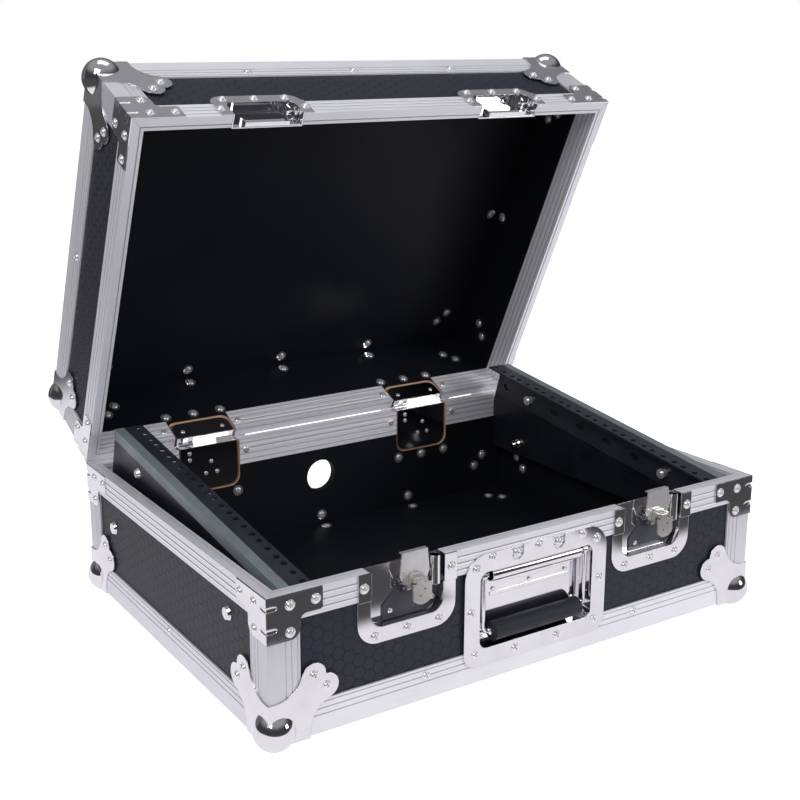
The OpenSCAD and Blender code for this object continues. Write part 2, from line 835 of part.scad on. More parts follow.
module boss() {
  translate([boss_x, 0, -boss_drop]) {
    // Square block with cut corners
    intersection() {
      translate([-boss_half, boss_front, -boss_half])
        cube([2 * boss_half, boss_back - boss_front, 2 * boss_half]);
      rotate([-90, 0, 0]) translate([0, 0, boss_front])
        cylinder(r = boss_half * 1.2, h = boss_back - boss_front);
    }
    // Shaft into its bore in the back of the dish
    translate([0, boss_back - eps, 0]) rotate([-90, 0, 0])
      cylinder(r = boss_shaft, h = latch_depth + sheet - boss_back);
    // Ears and pin for the wing
    for (s = [-1, 1])
      translate([s * 5.4 - 1.2, wing_pin_y - 1.9, 1]) cube([2.4, boss_front - wing_pin_y + 1.9 + eps, 3.8]);
    translate([-6.6, wing_pin_y, wing_pin_height]) rotate([0, 90, 0])
      cylinder(r = wing_pin_radius, h = 13.2);
  }
}

module wing() {
  translate([boss_x, wing_pin_y, -boss_drop + wing_pin_height]) {
    difference() {
      union() {
        translate([-3.9, 0, 0]) rotate([0, 90, 0]) cylinder(r = wing_knuckle_radius, h = 7.8);
        // Neck below the knuckle
        translate([-3.9, -wing_knuckle_radius, -3.4]) cube([7.8, wing_thickness, 3.4]);
        // Folding plate with a rounded lower edge
        translate([wing_x, wing_thickness - wing_knuckle_radius, -3.4]) rotate([90, 0, 0])
          linear_extrude(wing_thickness)
            difference() {
              intersection() {
                translate([-wing_width / 2, -wing_length]) square([wing_width, wing_length]);
                translate([0, -wing_length + 11.5]) circle(r = 11.5);
              }
              for (p = [[-2.2, -11], [2.4, -5.5]]) translate(p) circle(r = 0.9);
            }
      }
      translate([-10, 0, 0]) rotate([0, 90, 0]) cylinder(r = wing_pin_radius + running_gap, h = 20);
    }
  }
}

// Base nodes

module base_bottom_panel() {
  color(laminate) base_place() shell_closed_panel();
}

module base_front_panel() {
  color(laminate) base_place()
    difference() {
      shell_end_panel(base_height, 0);
      at_face(0) drill(edge_spots(0, false));
      at_face(0) drill(handle_low_spots(), blind_depth);
      at_face(0) drill(handle_side_spots(), blind_depth);
      at_face(0) drill(handle_top_spots(), blind_depth);
      at_face(0) drill(rim_rivet_spots(), blind_depth);
      translate([0, 30, 0]) rotate([90, 0, 0]) linear_extrude(40) handle_cavity(sheet + notch_clearance);
      // Room for the ends of the handle's rod
      translate([0, bail_pivot_y, base_height - bail_pivot_drop]) rotate([0, 90, 0])
        cylinder(r = bail_rod_radius + 0.8, h = 2 * (handle_half_width + sheet + 1), center = true);
      for (s = [-1, 1]) rim_fitting("base_front", s * fitting_x) {
        dish_cut(latch_half_width + sheet + notch_clearance, latch_drop + sheet + notch_clearance,
                 latch_corner + sheet + notch_clearance);
        dish_holes(latch_row_drop);
      }
    }
}

module base_rear_panel() {
  color(laminate) base_place()
    difference() {
      shell_end_panel(base_height, 1);
      at_face(1) drill(edge_spots(1, true));
      translate([0, case_depth + 1, cable_hole_z]) rotate([90, 0, 0])
        cylinder(d = cable_hole_diameter, h = 20);
      for (s = [-1, 1]) rim_fitting("base_rear", s * fitting_x) {
        dish_cut(hinge_cut_half, hinge_cut_drop, 12);
        dish_holes(hinge_row_drop);
      }
    }
}

module base_side_panel(f) {
  s = f == 2 ? -1 : 1;
  difference() {
    shell_side_panel(base_height, f);
    for (p = board_bolts_at)
      translate([s * half_w, p[0], p[1]]) rotate([0, 90, 0]) cylinder(r = bolt_hole, h = 40, center = true);
  }
}

module base_left_panel() {
  color(laminate) base_place() base_side_panel(2);
}

module base_right_panel() {
  color(laminate) base_place() base_side_panel(3);
}

module base_bottom_edges() {
  color(alu) base_place() shell_edges(false);
}

module base_corner_edges() {
  color(alu) base_place() shell_corner_edges(base_height);
}

module base_rim_front() {
  color(alu) base_place()
    difference() {
      shell_rim(0, base_height, 1.3);
      at_face(0) drill(handle_top_spots(), blind_depth);
      at_face(0) drill(rim_rivet_spots(), blind_depth);
      translate([0, 30, 0]) rotate([90, 0, 0]) linear_extrude(40) handle_cavity(sheet + notch_clearance);
      for (s = [-1, 1]) rim_fitting("base_front", s * fitting_x) {
        dish_cut(latch_half_width + sheet + notch_clearance, 45, latch_corner);
        dish_holes(latch_row_drop);
      }
    }
}

module base_rim_rear() {
  color(alu) base_place()
    difference() {
      shell_rim(1, base_height, 1.3);
      for (s = [-1, 1]) rim_fitting("base_rear", s * fitting_x) {
        dish_cut(hinge_cut_half, 45, 12);
        dish_holes(hinge_row_drop);
      }
    }
}

module base_rim_left() {
  color(alu) base_place() shell_rim(2, base_height, 1.3);
}

module base_rim_right() {
  color(alu) base_place() shell_rim(3, base_height, 1.3);
}

module base_braces() {
  color(chrome) base_place() four_corners() brace(base_height);
}

module base_ball_corners() {
  color(chrome) base_place() shell_ball_corners();
}

module base_rivets() {
  color(chrome) base_place() {
    shell_rivets(base_height, false);
    at_face(0) {
      for (p = concat(handle_low_spots(), handle_side_spots(), handle_top_spots()))
        translate([p[0], p[1], sheet]) blind_rivet(sheet + blind_depth - 0.3);
      for (p = rim_rivet_spots())
        translate([p[0], p[1], 0]) blind_rivet(blind_depth - 0.3);
    }
    for (s = [-1, 1]) {
      rim_fitting("base_front", s * fitting_x) dish_rivets(latch_row_drop);
      rim_fitting("base_rear", s * fitting_x) dish_rivets(hinge_row_drop);
      for (p = backplate_spots)
        translate([s * fitting_x + p[0], latch_depth - sheet, base_height + p[1]]) rotate([90, 0, 0])
          small_rivet(2 * sheet);
      for (p = concat(leaf_spots, stay_spots))
        translate([s * fitting_x + p[0], case_depth - hinge_depth - sheet, base_height + p[1]])
          rotate([90, 0, 0]) small_rivet(2 * sheet);
    }
    for (x = [-42, 0, 42])
      translate([x, handle_depth, base_height - cover_rivet_drop]) rotate([90, 0, 0]) small_rivet(sheet);
  }
}

module base_washers() {
  color(chrome) {
    base_place() {
      shell_washers(false);
      for (s = [-1, 1]) {
        rim_fitting("base_front", s * fitting_x) dish_washers(latch_row_drop);
        rim_fitting("base_rear", s * fitting_x) dish_washers(hinge_row_drop);
      }
    }
  }
}

module rack_rail_left() {
  color(powder) rail_place() mirror([1, 0, 0]) rack_rail();
}

module rack_rail_right() {
  color(powder) rail_place() rack_rail();
}

module side_board_left() {
  color(laminate) mirror([1, 0, 0]) side_board();
}

module side_board_right() {
  color(laminate) side_board();
}

module board_caps() {
  color(bluesteel) {
    board_cap();
    mirror([1, 0, 0]) board_cap();
  }
}

module rail_bolts() {
  color(darksteel)
    for (m = [0, 1]) mirror([m, 0, 0]) rail_place()
      for (u = rail_bolt_units())
        translate([0, -slot_first - u * rack_pitch, -slot_drop]) {
          cross_bolt(rail_outer - rail_thickness, rail_outer + board_thickness, 5.4, 3);
          nut(rail_outer - rail_thickness, 5.4);
        }
}

module board_bolts() {
  color(chrome)
    for (m = [0, 1]) mirror([m, 0, 0]) base_place()
      for (p = board_bolts_at) translate([0, p[0], p[1]]) {
        cross_bolt(rail_outer - washer_thickness, half_w - wall_out, 7, 2.6);
        nut(rail_outer - washer_thickness, 5.4);
        translate([rail_outer - washer_thickness, 0, 0]) rotate([0, 90, 0])
          difference() {
            cylinder(r = 7.5, h = washer_thickness);
            translate([0, 0, -1]) cylinder(r = bolt_hole, h = washer_thickness + 2);
          }
      }
}

module board_spacers() {
  color(darksteel)
    for (m = [0, 1]) mirror([m, 0, 0]) base_place()
      for (p = board_bolts_at)
        translate([rail_outer + board_thickness, p[0], p[1]]) rotate([0, 90, 0])
          difference() {
            cylinder(r = spacer_radius, h = half_w - wall_in - rail_outer - board_thickness);
            translate([0, 0, -1]) cylinder(r = bolt_hole, h = 40);
          }
}

module latch_dishes() {
  color(chrome) base_place()
    for (s = [-1, 1])
      difference() {
        rim_fitting("base_front", s * fitting_x)
          dish(latch_half_width, latch_drop, latch_depth, latch_corner, latch_flange_half, latch_flange_drop,
               latch_flange_corner, latch_row_drop);
        for (p = backplate_spots) translate([s * fitting_x, 0, base_height]) small_drill(p[0], p[1]);
        // Bearing of the boss
        translate([s * fitting_x + boss_x, 0, base_height - boss_drop]) rotate([-90, 0, 0])
          cylinder(r = boss_shaft + running_gap, h = 30);
      }
}

module latch_backplates() {
  color(darksteel)
    for (s = [-1, 1]) latch_place(s)
      difference() {
        union() {
          translate([0, latch_depth, 0]) rotate([90, 0, 0]) linear_extrude(sheet)
            polygon([[-5.7, -23.6], [-20.7, -38], [-20.7, -50.5], [26, -50.5], [34, -46], [36.4, -40],
                     [36.4, -32.6], [20.7, -22.8]]);
          // Lugs that carry the tongue
          for (x = [-tongue_knuckle_half - lug_gap - lug_sheet, tongue_knuckle_half + lug_gap])
            translate([boss_x + x, 0, -tongue_pivot_drop]) rotate([90, 0, 90]) linear_extrude(lug_sheet) {
              translate([tongue_pivot_y, 0]) circle(r = lug_radius);
              polygon([[tongue_pivot_y, lug_radius], [latch_depth - sheet + 0.3, -0.3],
                       [latch_depth - sheet + 0.3, -5], [tongue_pivot_y, -lug_radius]]);
            }
        }
        for (p = backplate_spots) small_drill(p[0], p[1]);
        translate([0, tongue_pivot_y, -tongue_pivot_drop]) rotate([0, 90, 0])
          cylinder(r = tongue_pin_radius + running_gap, h = 60, center = true);
      }
}

module latch_pins() {
  reach = tongue_knuckle_half + lug_gap + lug_sheet + 0.6;
  color(chrome)
    for (s = [-1, 1]) latch_place(s)
      translate([boss_x - reach, tongue_pivot_y, -tongue_pivot_drop]) rotate([0, 90, 0])
        cylinder(r = tongue_pin_radius, h = 2 * reach);
}

module latch_tubes() {
  color(chrome)
    for (s = [-1, 1]) latch_place(s)
      difference() {
        union() {
          translate([tube_x, tube_y, -tube_length]) cylinder(r = tube_radius, h = tube_length);
          translate([tube_x - 4, tube_y, -9]) cube([8, latch_depth - tube_y, 7]);
        }
        translate([tube_x, tube_y, -tube_length - 1]) cylinder(r = tube_radius - 1.2, h = tube_length + 2);
      }
}

module latch_tongue_left() {
  color(chrome) latch_place(-1) tongue();
}

module latch_tongue_right() {
  color(chrome) latch_place(1) tongue();
}

module latch_boss_left() {
  color(nickel) latch_place(-1) boss();
}

module latch_boss_right() {
  color(nickel) latch_place(1) boss();
}

module latch_wing_left() {
  color(nickel) latch_place(-1) wing();
}

module latch_wing_right() {
  color(nickel) latch_place(1) wing();
}

module handle_dish() {
  color(chrome) base_place()
    difference() {
      union() {
        rotate([90, 0, 0]) linear_extrude(sheet) handle_outline();
        translate([0, handle_depth + sheet, 0]) rotate([90, 0, 0]) linear_extrude(handle_depth + sheet)
          handle_cavity(sheet);
        for (p = handle_side_spots())
          translate([p[0], edge_thickness, p[1]]) rotate([90, 0, 0])
            cylinder(r = 5.5, h = edge_thickness + eps);
      }
      difference() {
        translate([0, handle_depth, 0]) rotate([90, 0, 0])
          linear_extrude(handle_depth + 20) handle_cavity(0);
        // Pressed bead across the back
        translate([-46, handle_depth - 0.9, base_height - bead_drop]) cube([92, 2, 3]);
      }
      at_face(0) drill(handle_low_spots(), 10);
      at_face(0) drill(handle_side_spots(), 10);
      at_face(0) drill(handle_top_spots(), 10);
      translate([-100, bail_pivot_y, base_height - bail_pivot_drop]) rotate([0, 90, 0])
        cylinder(r = bail_rod_radius + running_gap, h = 200);
      for (x = [-42, 0, 42]) small_drill(x, base_height - cover_rivet_drop);
    }
}

module handle_cover() {
  outer = 6.6;
  color(chrome) base_place() translate([0, 0, base_height - bail_pivot_drop])
    difference() {
      union() {
        translate([-51, bail_pivot_y, 0]) rotate([0, 90, 0]) cylinder(r = outer, h = 102);
        translate([-51, bail_pivot_y, -outer]) cube([102, handle_depth - bail_pivot_y, 2 * outer - 2.5]);
        // Skirt on the back of the dish, with a wavy lower edge
        translate([0, handle_depth, 0]) rotate([90, 0, 0]) linear_extrude(sheet)
          polygon([[-50, 0], [-50, -11], [-44, -12.6], [-16, -12.6], [-9, -14.6], [9, -14.6], [16, -12.6],
                   [44, -12.6], [50, -11], [50, 0]]);
      }
      translate([-60, bail_pivot_y, 0]) rotate([0, 90, 0]) cylinder(r = outer - sheet, h = 120);
      translate([-60, bail_pivot_y, -outer + sheet]) cube([120, handle_depth, 2 * (outer - sheet)]);
      // Flat top, with a little air under the top of the recess
      translate([-60, -20, bail_pivot_drop - handle_cavity_top - 0.3]) cube([120, 40, 20]);
    }
}

module handle_rod() {
  reach = handle_half_width + sheet;
  color(chrome) base_place() translate([0, bail_pivot_y, base_height - bail_pivot_drop])
    translate([-reach, 0, 0]) rotate([0, 90, 0]) cylinder(r = bail_rod_radius, h = 2 * reach);
}

module handle_springs() {
  wire = 0.7;
  coils = 16;
  pitch = 1.7 * wire;
  color(chrome) base_place() translate([0, bail_pivot_y, base_height - bail_pivot_drop])
    for (s = [0, 1]) mirror([s, 0, 0]) translate([16, 0, 0]) rotate([0, 90, 0])
      rotate_extrude()
        for (i = [0:coils - 1]) translate([3.8, i * pitch]) circle(r = wire, $fn = 16);
}

// Cross-section of the bail's arms, flat with rounded edges
module arm_section() {
  square([bail_arm_thick, bail_arm_width - bail_arm_thick], center = true);
  for (e = [-1, 1]) translate([0, e * (bail_arm_width - bail_arm_thick) / 2]) circle(d = bail_arm_thick);
}

module handle_bail() {
  bar_z = -bail_reach;
  color(chrome) base_place() translate([0, bail_pivot_y, base_height - bail_pivot_drop])
    difference() {
      union() {
        for (s = [0, 1]) mirror([s, 0, 0]) {
          // Ear on the rod
          translate([bail_arm_x - 2.4, 0, 0]) rotate([0, 90, 0]) cylinder(r = bail_ear_radius, h = 4.8);
          // Flat arm
          translate([bail_arm_x, 0, bar_z + bail_bend]) linear_extrude(bail_reach - bail_bend) arm_section();
          // Bend into the bar
          translate([bail_arm_x - bail_bend, 0, bar_z + bail_bend]) rotate([90, 0, 0])
            rotate_extrude(angle = -90) translate([bail_bend, 0]) arm_section();
        }
        // Round bar through the grip, joined to the flat bends beside it
        translate([-bail_arm_x + bail_bend, grip_y - bail_pivot_y, bar_z]) rotate([0, 90, 0])
          cylinder(r = bail_bar_radius, h = 2 * (bail_arm_x - bail_bend));
        for (s = [0, 1]) mirror([s, 0, 0])
          translate([grip_length / 2 + 0.5, 0, bar_z]) rotate([90, 0, 90])
            linear_extrude(bail_arm_x - bail_bend - grip_length / 2 - 0.5) rotate(90) arm_section();
      }
      translate([-100, 0, 0]) rotate([0, 90, 0]) cylinder(r = bail_rod_radius + running_gap, h = 200);
    }
}

module handle_grip() {
  color(rubber) base_place() translate([0, grip_y, base_height - bail_pivot_drop - bail_reach])
    rotate([0, 90, 0])
      difference() {
        cylinder(r = grip_radius, h = grip_length, center = true);
        cylinder(r = bail_bar_radius + running_gap, h = grip_length + 2, center = true);
      }
}

// Hinges at the back, with x from the hinge centre

// Knuckle on the pin with its leaf: up is 1 for the lid and -1 for the base
module knuckle(from, to, up) {
  leaf_front = -hinge_setback - hinge_depth;
  difference() {
    union() {
      rotate([0, 90, 0]) translate([0, 0, from]) cylinder(r = knuckle_radius, h = to - from);
      translate([from, leaf_front, up > 0 ? rim_gap : -knuckle_radius])
        cube([to - from, -leaf_front, knuckle_radius - (up > 0 ? rim_gap : 0)]);
    }
    rotate([0, 90, 0]) translate([0, 0, -60]) cylinder(r = hinge_pin_radius + running_gap, h = 120);
  }
}

module hinge_base_dishes() {
  color(darksteel) base_place()
    for (s = [-1, 1])
      difference() {
        union() {
          rim_fitting("base_rear", s * fitting_x)
            dish(hinge_half_width, hinge_drop, hinge_depth, 11, hinge_flange_half, hinge_flange_drop,
                 latch_flange_corner, hinge_row_drop);
          translate([s * fitting_x, hinge_y, base_height]) knuckle(knuckle_mid + knuckle_gap / 2,
            knuckle_next - knuckle_gap / 2, -1);
          // Leaf behind the knuckle
          translate([s * fitting_x + knuckle_mid + knuckle_gap / 2, case_depth - hinge_depth - eps,
                     base_height - 18])
            cube([knuckle_next - knuckle_mid - knuckle_gap, sheet + eps, 18]);
        }
        for (p = concat(leaf_spots, stay_spots))
          translate([s * fitting_x, 0, base_height]) small_drill_rear(p[0], p[1]);
      }
}

module small_drill_rear(x, z) {
  translate([x, case_depth - 14, z]) rotate([-90, 0, 0]) cylinder(r = small_shank + 0.3, h = 8);
}

module hinge_pins() {
  color(chrome) base_place()
    for (s = [-1, 1])
      translate([s * fitting_x + knuckle_low, hinge_y, base_height]) rotate([0, 90, 0])
        cylinder(r = hinge_pin_radius, h = knuckle_high - knuckle_low);
}

// Bent plate that the open lid leans on
module stay_plates() {
  back = case_depth - hinge_depth;
  color(nickel) base_place()
    for (s = [-1, 1])
      difference() {
        translate([s * fitting_x, 0, base_height]) {
          translate([0, back + sheet, 0]) rotate([90, 0, 0]) linear_extrude(sheet)
            polygon([[-11, -37], [15, -37], [30, -10], [30, 0], [10, 0], [-2, -14], [-11, -30]]);
          translate([10, back, -eps]) rotate([90, 0, 90]) linear_extrude(20)
            polygon([[0, 0], [sheet, 0], [sheet + 2.4, 5.6], [2.5, 6]]);
        }
        for (p = stay_spots)
          translate([s * fitting_x, 0, base_height]) small_drill_rear(p[0], p[1]);
      }
}

// Lid nodes

module lid_top_panel() {
  color(laminate) lid_shell_place() shell_closed_panel();
}

module lid_front_panel() {
  color(laminate) {
    lid_place()
      difference() {
        translate([0, 0, lid_height]) rotate([0, 180, 0])
          difference() {
            shell_end_panel(lid_shell, 0);
            at_face(0) drill(edge_spots(0, true));
          }
        for (s = [-1, 1]) rim_fitting("lid_front", s * fitting_x) {
          dish_cut(keeper_half_width + sheet + notch_clearance, keeper_drop + sheet + notch_clearance,
                   latch_corner + sheet + notch_clearance);
          dish_holes(keeper_row_drop);
        }
      }
  }
}

module lid_rear_panel() {
  color(laminate) {
    lid_place()
      difference() {
        translate([0, 0, lid_height]) rotate([0, 180, 0])
          difference() {
            shell_end_panel(lid_shell, 1);
            at_face(1) drill(edge_spots(1, true));
          }
        for (s = [-1, 1]) rim_fitting("lid_rear", s * fitting_x) {
          dish_cut(hinge_cut_half, hinge_lid_cut_drop, 9);
          dish_holes(hinge_lid_row_drop);
        }
      }
  }
}

module lid_left_panel() {
  color(laminate) lid_shell_place() shell_side_panel(lid_shell, 3);
}

module lid_right_panel() {
  color(laminate) lid_shell_place() shell_side_panel(lid_shell, 2);
}

module lid_top_edges() {
  color(alu) lid_shell_place() shell_edges(true);
}

module lid_corner_edges() {
  color(alu) lid_shell_place() shell_corner_edges(lid_shell);
}

module lid_rim(f) {
  translate([0, 0, lid_height]) rotate([0, 180, 0]) shell_rim(f, lid_shell, 8);
}

module lid_rim_front() {
  color(alu) lid_place()
    difference() {
      lid_rim(0);
      for (s = [-1, 1]) rim_fitting("lid_front", s * fitting_x) {
        dish_cut(keeper_half_width + sheet + notch_clearance, 45, latch_corner);
        dish_holes(keeper_row_drop);
      }
    }
}

module lid_rim_rear() {
  color(alu) lid_place()
    difference() {
      lid_rim(1);
      for (s = [-1, 1]) rim_fitting("lid_rear", s * fitting_x) {
        dish_cut(hinge_cut_half, 45, 9);
        dish_holes(hinge_lid_row_drop);
      }
    }
}

module lid_rim_left() {
  color(alu) lid_place() lid_rim(3);
}

module lid_rim_right() {
  color(alu) lid_place() lid_rim(2);
}

module lid_braces() {
  color(chrome) lid_shell_place() four_corners() brace(lid_shell);
}

module lid_ball_corners() {
  color(chrome) lid_shell_place() shell_ball_corners();
}

module lid_rivets() {
  color(chrome) {
    lid_shell_place() shell_rivets(lid_shell, true);
    lid_place()
      for (s = [-1, 1]) {
        rim_fitting("lid_front", s * fitting_x) dish_rivets(keeper_row_drop);
        rim_fitting("lid_rear", s * fitting_x) dish_rivets(hinge_lid_row_drop);
        for (x = [-23.5, 24])
          translate([s * fitting_x + x, case_depth - hinge_depth - sheet, 10]) rotate([90, 0, 0])
            small_rivet(sheet);
      }
  }
}

module lid_washers() {
  color(chrome) {
    lid_shell_place() shell_washers(true);
    lid_place()
      for (s = [-1, 1]) {
        rim_fitting("lid_front", s * fitting_x) dish_washers(keeper_row_drop);
        rim_fitting("lid_rear", s * fitting_x) dish_washers(hinge_lid_row_drop);
      }
  }
}

module keeper_dishes() {
  color(chrome) lid_place()
    for (s = [-1, 1]) rim_fitting("lid_front", s * fitting_x)
      dish(keeper_half_width, keeper_drop, keeper_depth, latch_corner, keeper_flange_half, keeper_flange_drop,
           14, keeper_row_drop);
}

module keeper_brackets() {
  catch_front = tongue_front + tongue_lip + catch_gap;
  low = rim_gap + 0.2;
  color(chrome) lid_place()
    for (s = [-1, 1]) translate([s * fitting_x, 0, 0]) {
      // Back plate
      translate([-23.4, keeper_depth - sheet, low]) cube([46.8, sheet, 23]);
      // Shelf and upturned catch
      translate([-23.4, catch_front, low]) cube([46.8, keeper_depth - catch_front, 1.4]);
      translate([-23.4, catch_front, low]) cube([46.8, 1.4, 4.6]);
      // Slanted cheeks
      for (m = [0, 1]) mirror([m, 0, 0])
        translate([22, 0, 0]) rotate([90, 0, 90]) linear_extrude(1.4)
          polygon([[keeper_depth, low], [catch_front, low], [catch_front, low + 8],
                   [keeper_depth - sheet, low + 22], [keeper_depth, low + 22]]);
      // Socket plate with a round hole
      difference() {
        translate([23, 2, low + 9]) cube([12, keeper_depth - 2, sheet]);
        translate([29, 6.6, low]) cylinder(r = 4.2, h = 20);
      }
      translate([23, keeper_depth - sheet, low]) cube([12, sheet, 10]);
    }
}

module hinge_lid_dishes() {
  color(darksteel) lid_place()
    for (s = [-1, 1])
      difference() {
        union() {
          rim_fitting("lid_rear", s * fitting_x)
            dish(hinge_half_width, hinge_lid_drop, hinge_depth, 9, hinge_flange_half, hinge_lid_flange_drop,
                 14, hinge_lid_row_drop);
          translate([s * fitting_x, hinge_y, 0]) {
            knuckle(knuckle_low, knuckle_mid - knuckle_gap / 2, 1);
            knuckle(knuckle_next + knuckle_gap / 2, knuckle_high, 1);
          }
        }
        for (x = [-23.5, 24]) translate([s * fitting_x, 0, 0]) small_drill_rear(x, 10);
      }
}

base_bottom_panel();
base_front_panel();
base_rear_panel();
base_left_panel();
base_right_panel();
base_bottom_edges();
base_corner_edges();
base_rim_front();
base_rim_rear();
base_rim_left();
base_rim_right();
base_braces();
base_ball_corners();
base_rivets();
base_washers();
rack_rail_left();
rack_rail_right();
side_board_left();
side_board_right();
board_caps();
rail_bolts();
board_bolts();
board_spacers();
latch_dishes();
latch_backplates();
latch_tubes();
latch_pins();
latch_tongue_left();
latch_tongue_right();
latch_boss_left();
latch_boss_right();
latch_wing_left();
latch_wing_right();
handle_dish();
handle_cover();
handle_rod();
handle_springs();
handle_bail();
handle_grip();
hinge_base_dishes();
hinge_pins();
stay_plates();
lid_top_panel();
lid_front_panel();
lid_rear_panel();
lid_left_panel();
lid_right_panel();
lid_top_edges();
lid_corner_edges();
lid_rim_front();
lid_rim_rear();
lid_rim_left();
lid_rim_right();
lid_braces();
lid_ball_corners();
lid_rivets();
lid_washers();
keeper_dishes();
keeper_brackets();
hinge_lid_dishes();
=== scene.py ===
"""Looks of the slant mixer flight case: its finishes, smooth rivets and dented braces, and the stage."""

import json
import math

import bmesh
import bpy
import numpy as np
from mathutils import Euler, Matrix, Vector

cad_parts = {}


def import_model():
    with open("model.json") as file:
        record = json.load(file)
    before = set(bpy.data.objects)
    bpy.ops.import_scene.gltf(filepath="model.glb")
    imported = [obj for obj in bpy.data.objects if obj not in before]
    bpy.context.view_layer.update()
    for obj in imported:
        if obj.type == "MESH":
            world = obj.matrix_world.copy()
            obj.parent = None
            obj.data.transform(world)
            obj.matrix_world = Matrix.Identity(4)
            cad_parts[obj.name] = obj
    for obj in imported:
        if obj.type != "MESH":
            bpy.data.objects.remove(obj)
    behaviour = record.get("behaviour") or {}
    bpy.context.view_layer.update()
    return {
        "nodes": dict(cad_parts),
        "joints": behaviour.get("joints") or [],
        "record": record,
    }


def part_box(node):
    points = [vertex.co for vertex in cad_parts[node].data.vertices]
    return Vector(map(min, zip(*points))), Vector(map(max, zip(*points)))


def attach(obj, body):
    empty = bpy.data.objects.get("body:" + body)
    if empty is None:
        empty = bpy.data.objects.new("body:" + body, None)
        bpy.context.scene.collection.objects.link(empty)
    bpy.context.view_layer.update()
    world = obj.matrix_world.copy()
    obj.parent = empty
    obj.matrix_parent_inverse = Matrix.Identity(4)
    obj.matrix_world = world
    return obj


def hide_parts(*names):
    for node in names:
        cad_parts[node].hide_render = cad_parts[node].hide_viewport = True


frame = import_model()

MM = 0.001

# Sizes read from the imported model
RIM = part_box("base_rim_left")
HALF_WIDTH = -RIM[0].x
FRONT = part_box("base_rim_front")[0].y
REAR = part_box("base_rim_rear")[1].y
FLOOR_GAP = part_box("base_bottom_edges")[0].z
RIM_HEIGHT = RIM[1].z
LID_JOINT = next(j for j in frame["joints"] if j["name"] == "lid_hinge")
HINGE = Vector(LID_JOINT["pos_m"])
LID_OPEN = math.radians(LID_JOINT["range_deg"][1])
CABLE_HOLE = next(m for m in frame["record"]["mounts"] if m["name"] == "cable_hole")["pos_m"]

# Sizes that the source sets too
LID_HEIGHT = 110.5 * MM
PANEL = 9 * MM
EDGE_SKIN = 1.8 * MM
WALL_IN = EDGE_SKIN + PANEL
RIM_GROOVES = (6.5 * MM, 12.5 * MM, 18.5 * MM)
EDGE_GROOVES = (16.5 * MM, 22 * MM, 27.5 * MM)

# Marks that the finishes draw
HEXAGON = 11.5 * MM
PLY_WAVES = 3.5
HOLE_PAINT = 22 * MM
MOUTH_LINE = 8.6 * MM
INNER_RIB = 6.4 * MM
# Offset of the painted highlight beside each rim groove
LIP_HIGHLIGHT_OFFSET = 1.3 * MM

# Where those marks begin to fade and where they end, from their middle or from the surface
LEG_SKIN = (1.0 * MM, 1.4 * MM)
MOUTH_FADE = (0.3 * MM, 0.75 * MM)
GROOVE_FADE = (0.35 * MM, 0.75 * MM)
LIP_HIGHLIGHT_FADE = (0.3 * MM, 0.8 * MM)

CLOSE_LID = (
    Matrix.Translation(HINGE) @ Matrix.Rotation(LID_OPEN, 4, "X") @ Matrix.Translation(-HINGE)
)
OPEN_LID = CLOSE_LID.inverted()


def stands(lid):
    """Turn that takes a point of the closed case to where the model holds it."""
    return OPEN_LID if lid else Matrix.Identity(4)


def dimmed(colour, factor):
    return tuple(factor * part for part in colour)


def ease(made, *numbers):
    """Sets a map range node to go smoothly from its first two numbers to its last two."""
    made.interpolation_type = "SMOOTHSTEP"
    for key, number in zip(("From Min", "From Max", "To Min", "To Max"), numbers):
        made.inputs[key].default_value = number


# Node graph helper


